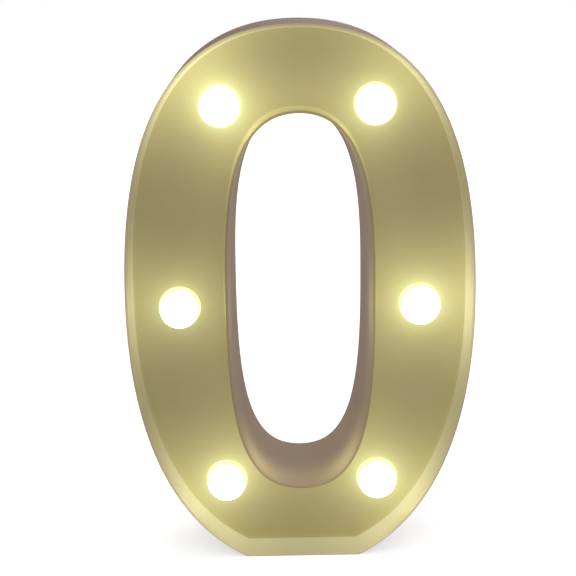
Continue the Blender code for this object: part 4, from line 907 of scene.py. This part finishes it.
for name, up in (("link", 1), ("negative", -1)):
    foot_z = BAY_BOTTOM_Z if up == 1 else BAY_TOP_Z
    rows = spring_rows(BAY_X + up * CELL_SIDE, foot_z + up * CONTACT_THICKNESS, up)
    coil = finished(skin(name + "_coil", rows), plated)
    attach(coil, "case")
    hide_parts(name + "_spring")


# ---- Cells ----
# Two AA cells in plain dark sleeves that shrink over their shoulders. The steel shows at the
# flat negative end and at the button of the positive one. The inner cell is turned over.

CELL_RADIUS, CELL_LENGTH, CELL_SHOULDER = 7.1, 49.2, 0.8
BUTTON_RADIUS, BUTTON_LENGTH = 2.65, 1.3
SPRING_ROOM = 6.6


def cell_rows(x, foot_z, up):
    """Loops round a cell from the middle of its flat end to the middle of its button."""
    low_lip = [(CELL_RADIUS - CELL_SHOULDER * (1 - np.sin(a)), CELL_SHOULDER * (1 - np.cos(a)))
               for a in np.linspace(0, math.pi / 2, 6)]
    high_lip = [(r, CELL_LENGTH - z) for r, z in low_lip[::-1]]
    flat_end = [(0, 0.1), (5.6, 0.1), (5.75, 0.2), (5.9, 0.45), (6.1, 0.45), (6.15, 0.2)]
    tip = CELL_LENGTH + BUTTON_LENGTH
    button = [(6.1, CELL_LENGTH - 0.25), (6.0, CELL_LENGTH - 0.45), (3.1, CELL_LENGTH - 0.45),
              (BUTTON_RADIUS + 0.1, CELL_LENGTH - 0.3), (BUTTON_RADIUS, CELL_LENGTH),
              (BUTTON_RADIUS, tip - 0.35), (BUTTON_RADIUS - 0.15, tip - 0.1),
              (BUTTON_RADIUS - 0.45, tip), (0, tip)]
    profile = np.array(flat_end + low_lip + high_lip + button)
    angle = full_turn(72)
    radius, z = profile[:, :1], profile[:, 1:]
    rows = np.stack([x + radius * np.cos(angle), CELL_Y + radius * np.sin(angle),
                     foot_z + up * z + 0 * angle], -1)
    sleeve = np.zeros((len(profile), 2))
    sleeve[len(flat_end) - 1:1 - len(button), 0] = 1.0
    return rows, sleeve


def cell_finish():
    """Dark sleeve over plated steel: the mask says where the sleeve is."""
    finish, tree, inputs, _, tone = start_finish("cell_jacket", cloud=180.0, fine=3000.0,
                                                 bump=0.05)
    sleeve = stepped(tree, masks_of(tree)[0], 0.4, 0.6)
    jacket = tinted(tree, tone, (0.075, 0.08, 0.09), (0.12, 0.125, 0.14))
    steel = tinted(tree, tone, (0.50, 0.50, 0.48), (0.68, 0.68, 0.66))
    feed(tree, inputs, {"Base Color": tinted(tree, sleeve, steel, jacket),
                        "Metallic": number(tree, "SUBTRACT", 1.0, sleeve),
                        "Roughness": number(tree, "MULTIPLY_ADD", tone, 0.1, 0.27)})
    return finish


jacket = cell_finish()
for name, up in (("outer", 1), ("inner", -1)):
    foot_z = BAY_BOTTOM_Z if up == 1 else BAY_TOP_Z
    rows, sleeve = cell_rows(BAY_X + up * CELL_SIDE, foot_z + up * SPRING_ROOM, up)
    cell = finished(skin("cell_" + name, rows, sleeve), jacket)
    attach(cell, "case")
    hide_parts("battery_cell_" + name)


# ---- Battery door ----
# A plate of the cover's plastic over the bay. Two tabs under its lower edge hinge it, and a leaf
# at the upper edge latches it. Five grip ridges lie below the thumb notch.

DOOR_ROUND, DOOR_DRAW = 0.4, 0.8
RIDGE_HALF, RIDGE_END, RIDGE_RISE, RIDGE_SIDE = 6.5, 0.5, 0.4, 0.45
RIDGES, RIDGE_SPACING, FIRST_RIDGE = 5, 1.7, 8.0
TAB_DEEP, TAB_NEAR, TAB_REACH, TAB_ROOT = 3.5, 2.3, 2.2, 1.4
ROOT_DEEP, ROOT_NEAR = 2.8, 1.2
LEAF_HALF, LEAF_DEPTH, LEAF_THICKNESS, LEAF_INSET = 4.5, 3.0, 1.0, 1.2


def door_plate():
    """Plate with a softly rounded outer edge: its outline is drawn in as the depth nears a face."""
    inner, r = COVER_Y - DOOR_THICKNESS, DOOR_ROUND
    turn = np.linspace(0, math.pi / 2, 5)
    loops = [rounded_loop(DOOR_WIDTH / 2, HINGE_Z, LATCH_Z, DOOR_CORNER, grow)
             for grow in (-DOOR_DRAW, -0.15, 0, *(-r + r * np.cos(turn)), -DOOR_DRAW)]
    depths = [inner, inner, inner + 0.15, *(COVER_Y - r + r * np.sin(turn)), COVER_Y]
    return stacked("door_moulding", loops, depths, (0.0, BAY_Z), (BAY_X, 0.0))


def ridge(z):
    """Grip ridge: a rod with round ends, sunk to its middle in the door."""
    turn = full_turn(16)
    ends = np.linspace(0, math.pi / 2, 5)
    straight = RIDGE_HALF - RIDGE_END
    along = np.concatenate([-straight - RIDGE_END * np.cos(ends),
                            straight + RIDGE_END * np.sin(ends)])
    size = np.concatenate([np.sin(ends), np.cos(ends)])
    rows = np.stack([BAY_X + along[:, None] + 0 * turn,
                     COVER_Y + RIDGE_RISE * size[:, None] * np.cos(turn),
                     z + RIDGE_SIDE * size[:, None] * np.sin(turn)], -1)
    return skin("grip_ridge", rows)


door = door_plate()
added = [ridge(LATCH_Z - FIRST_RIDGE - RIDGE_SPACING * k) for k in range(RIDGES)]
for x in TAB_MIDDLES:
    added.append(block("door_tab", x, TAB_HALF, (COVER_Y - TAB_DEEP, HINGE_Z - TAB_REACH),
                       (COVER_Y - TAB_NEAR, HINGE_Z + TAB_ROOT), 0.2))
    added.append(block("door_tab_root", x, TAB_HALF, (COVER_Y - ROOT_DEEP, HINGE_Z + FIT),
                       (COVER_Y - ROOT_NEAR, HINGE_Z + TAB_ROOT), 0.1))
leaf_z = LATCH_Z - LEAF_INSET
added.append(block("latch_leaf", BAY_X, LEAF_HALF,
                   (COVER_Y - DOOR_THICKNESS - LEAF_DEPTH, leaf_z - LEAF_THICKNESS),
                   (COVER_Y - ROOT_NEAR, leaf_z), 0.2))
door = joined(door, "UNION", added)
finished(door, covering)
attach(door, "door")
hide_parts("battery_door")


# ---- Cover screws ----
# Eight thread-forming screws with round cross heads hold the cover on the shell's posts. Their
# heads sit in seats in the cover.

COVER_SCREW = (20.3, 1.2, 2.3, 1.5, 8.0)
for k, (name, spot) in enumerate(post_spots.items()):
    rows = screw_rows(spot, *COVER_SCREW, 0.3 + 0.71 * k)
    screw = finished(skin("cover_screw_cross_" + name, rows), plated)
    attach(screw, "case")
    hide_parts("cover_screw_" + name)


# ---- Floor, camera and light ----
# The figure stands on a plain pale floor in soft light from large lamps above and beside it. The
# floor and what lies behind it look white, and the floor keeps the figure's shadow.

FLOOR_HALF, FLOOR_ROUGHNESS = 4000.0, 0.9
LIFT_FROM, LIFT_TO, LIFT, FAR_LIFT = 0.5, 2.5, 0.50, 0.25
LAMP_AIM, LAMP_SIZE = Vector((0, 0, 0.11)), 1.6
CAMERA_PLACE = Vector((-0.00960, -0.48889, 0.22627))
CAMERA_YAW, CAMERA_PITCH, CAMERA_ROLL = 0.010, -0.233, -0.014
CAMERA_LENS, CAMERA_SENSOR, CAMERA_NEAR = 75.34, 36.0, 0.01


def seen_directly(tree):
    """1 where the camera sees the surface straight, in gloss or through plastic, otherwise 0."""
    rays = node(tree, "LightPath").outputs
    return number(tree, "MAXIMUM", rays["Is Camera Ray"],
                  number(tree, "MAXIMUM", rays["Is Glossy Ray"], rays["Is Transmission Ray"]))


def soft_lamp(name, place, power):
    """Large square lamp at a place that looks at the figure's middle."""
    data = bpy.data.lights.new(name, "AREA")
    data.shape = "SQUARE"
    data.size = LAMP_SIZE
    data.energy = power
    facing = (LAMP_AIM - Vector(place)).to_track_quat("-Z", "Y").to_matrix().to_4x4()
    new_object(name, data).matrix_world = Matrix.Translation(place) @ facing


floor_mesh = bpy.data.meshes.new("floor")
floor_mesh.from_pydata([(x * FLOOR_HALF * MM, y * FLOOR_HALF * MM, 0.0)
                        for x, y in ((-1, -1), (1, -1), (1, 1), (-1, 1))], [], [(0, 1, 2, 3)])
floor = new_object("floor", floor_mesh)
finish, tree, inputs, place, tone = start_finish("floor_white", cloud=3.0, fine=40.0)
away = node(tree, "VectorMath", {0: place}, operation="LENGTH").outputs["Value"]
lift = number(tree, "MULTIPLY_ADD", stepped(tree, away, LIFT_FROM, LIFT_TO), FAR_LIFT, LIFT)
feed(tree, inputs, {"Base Color": tinted(tree, tone, (0.80, 0.80, 0.80), (0.83, 0.83, 0.83)),
                    "Roughness": FLOOR_ROUGHNESS, "Emission Color": (1, 1, 1),
                    "Emission Strength": number(tree, "MULTIPLY", seen_directly(tree), lift)})
finished(floor, finish)

world = bpy.data.worlds.new("studio")
bpy.context.scene.world = world
world.use_nodes = True
tree = world.node_tree
feed(tree, tree.nodes["Background"].inputs, {
    "Color": tinted(tree, seen_directly(tree), (0.62, 0.62, 0.62), (1, 1, 1)), "Strength": 1.0})

soft_lamp("soft_left", (-1.4, -1.8, 1.1), 15.0)
soft_lamp("soft_right", (1.6, -1.5, 0.9), 10.0)
soft_lamp("soft_back", (0.6, 2.0, 1.2), 13.0)

camera_data = bpy.data.cameras.new("camera")
camera_data.lens = CAMERA_LENS
camera_data.sensor_width = CAMERA_SENSOR
camera_data.clip_start = CAMERA_NEAR
camera = new_object("camera", camera_data)
camera.matrix_world = (Matrix.Translation(CAMERA_PLACE) @ Matrix.Rotation(-CAMERA_YAW, 4, "Z")
                       @ Matrix.Rotation(math.pi / 2 + CAMERA_PITCH, 4, "X")
                       @ Matrix.Rotation(CAMERA_ROLL, 4, "Z"))
bpy.context.scene.camera = camera
bpy.context.scene.view_settings.view_transform = "Standard"
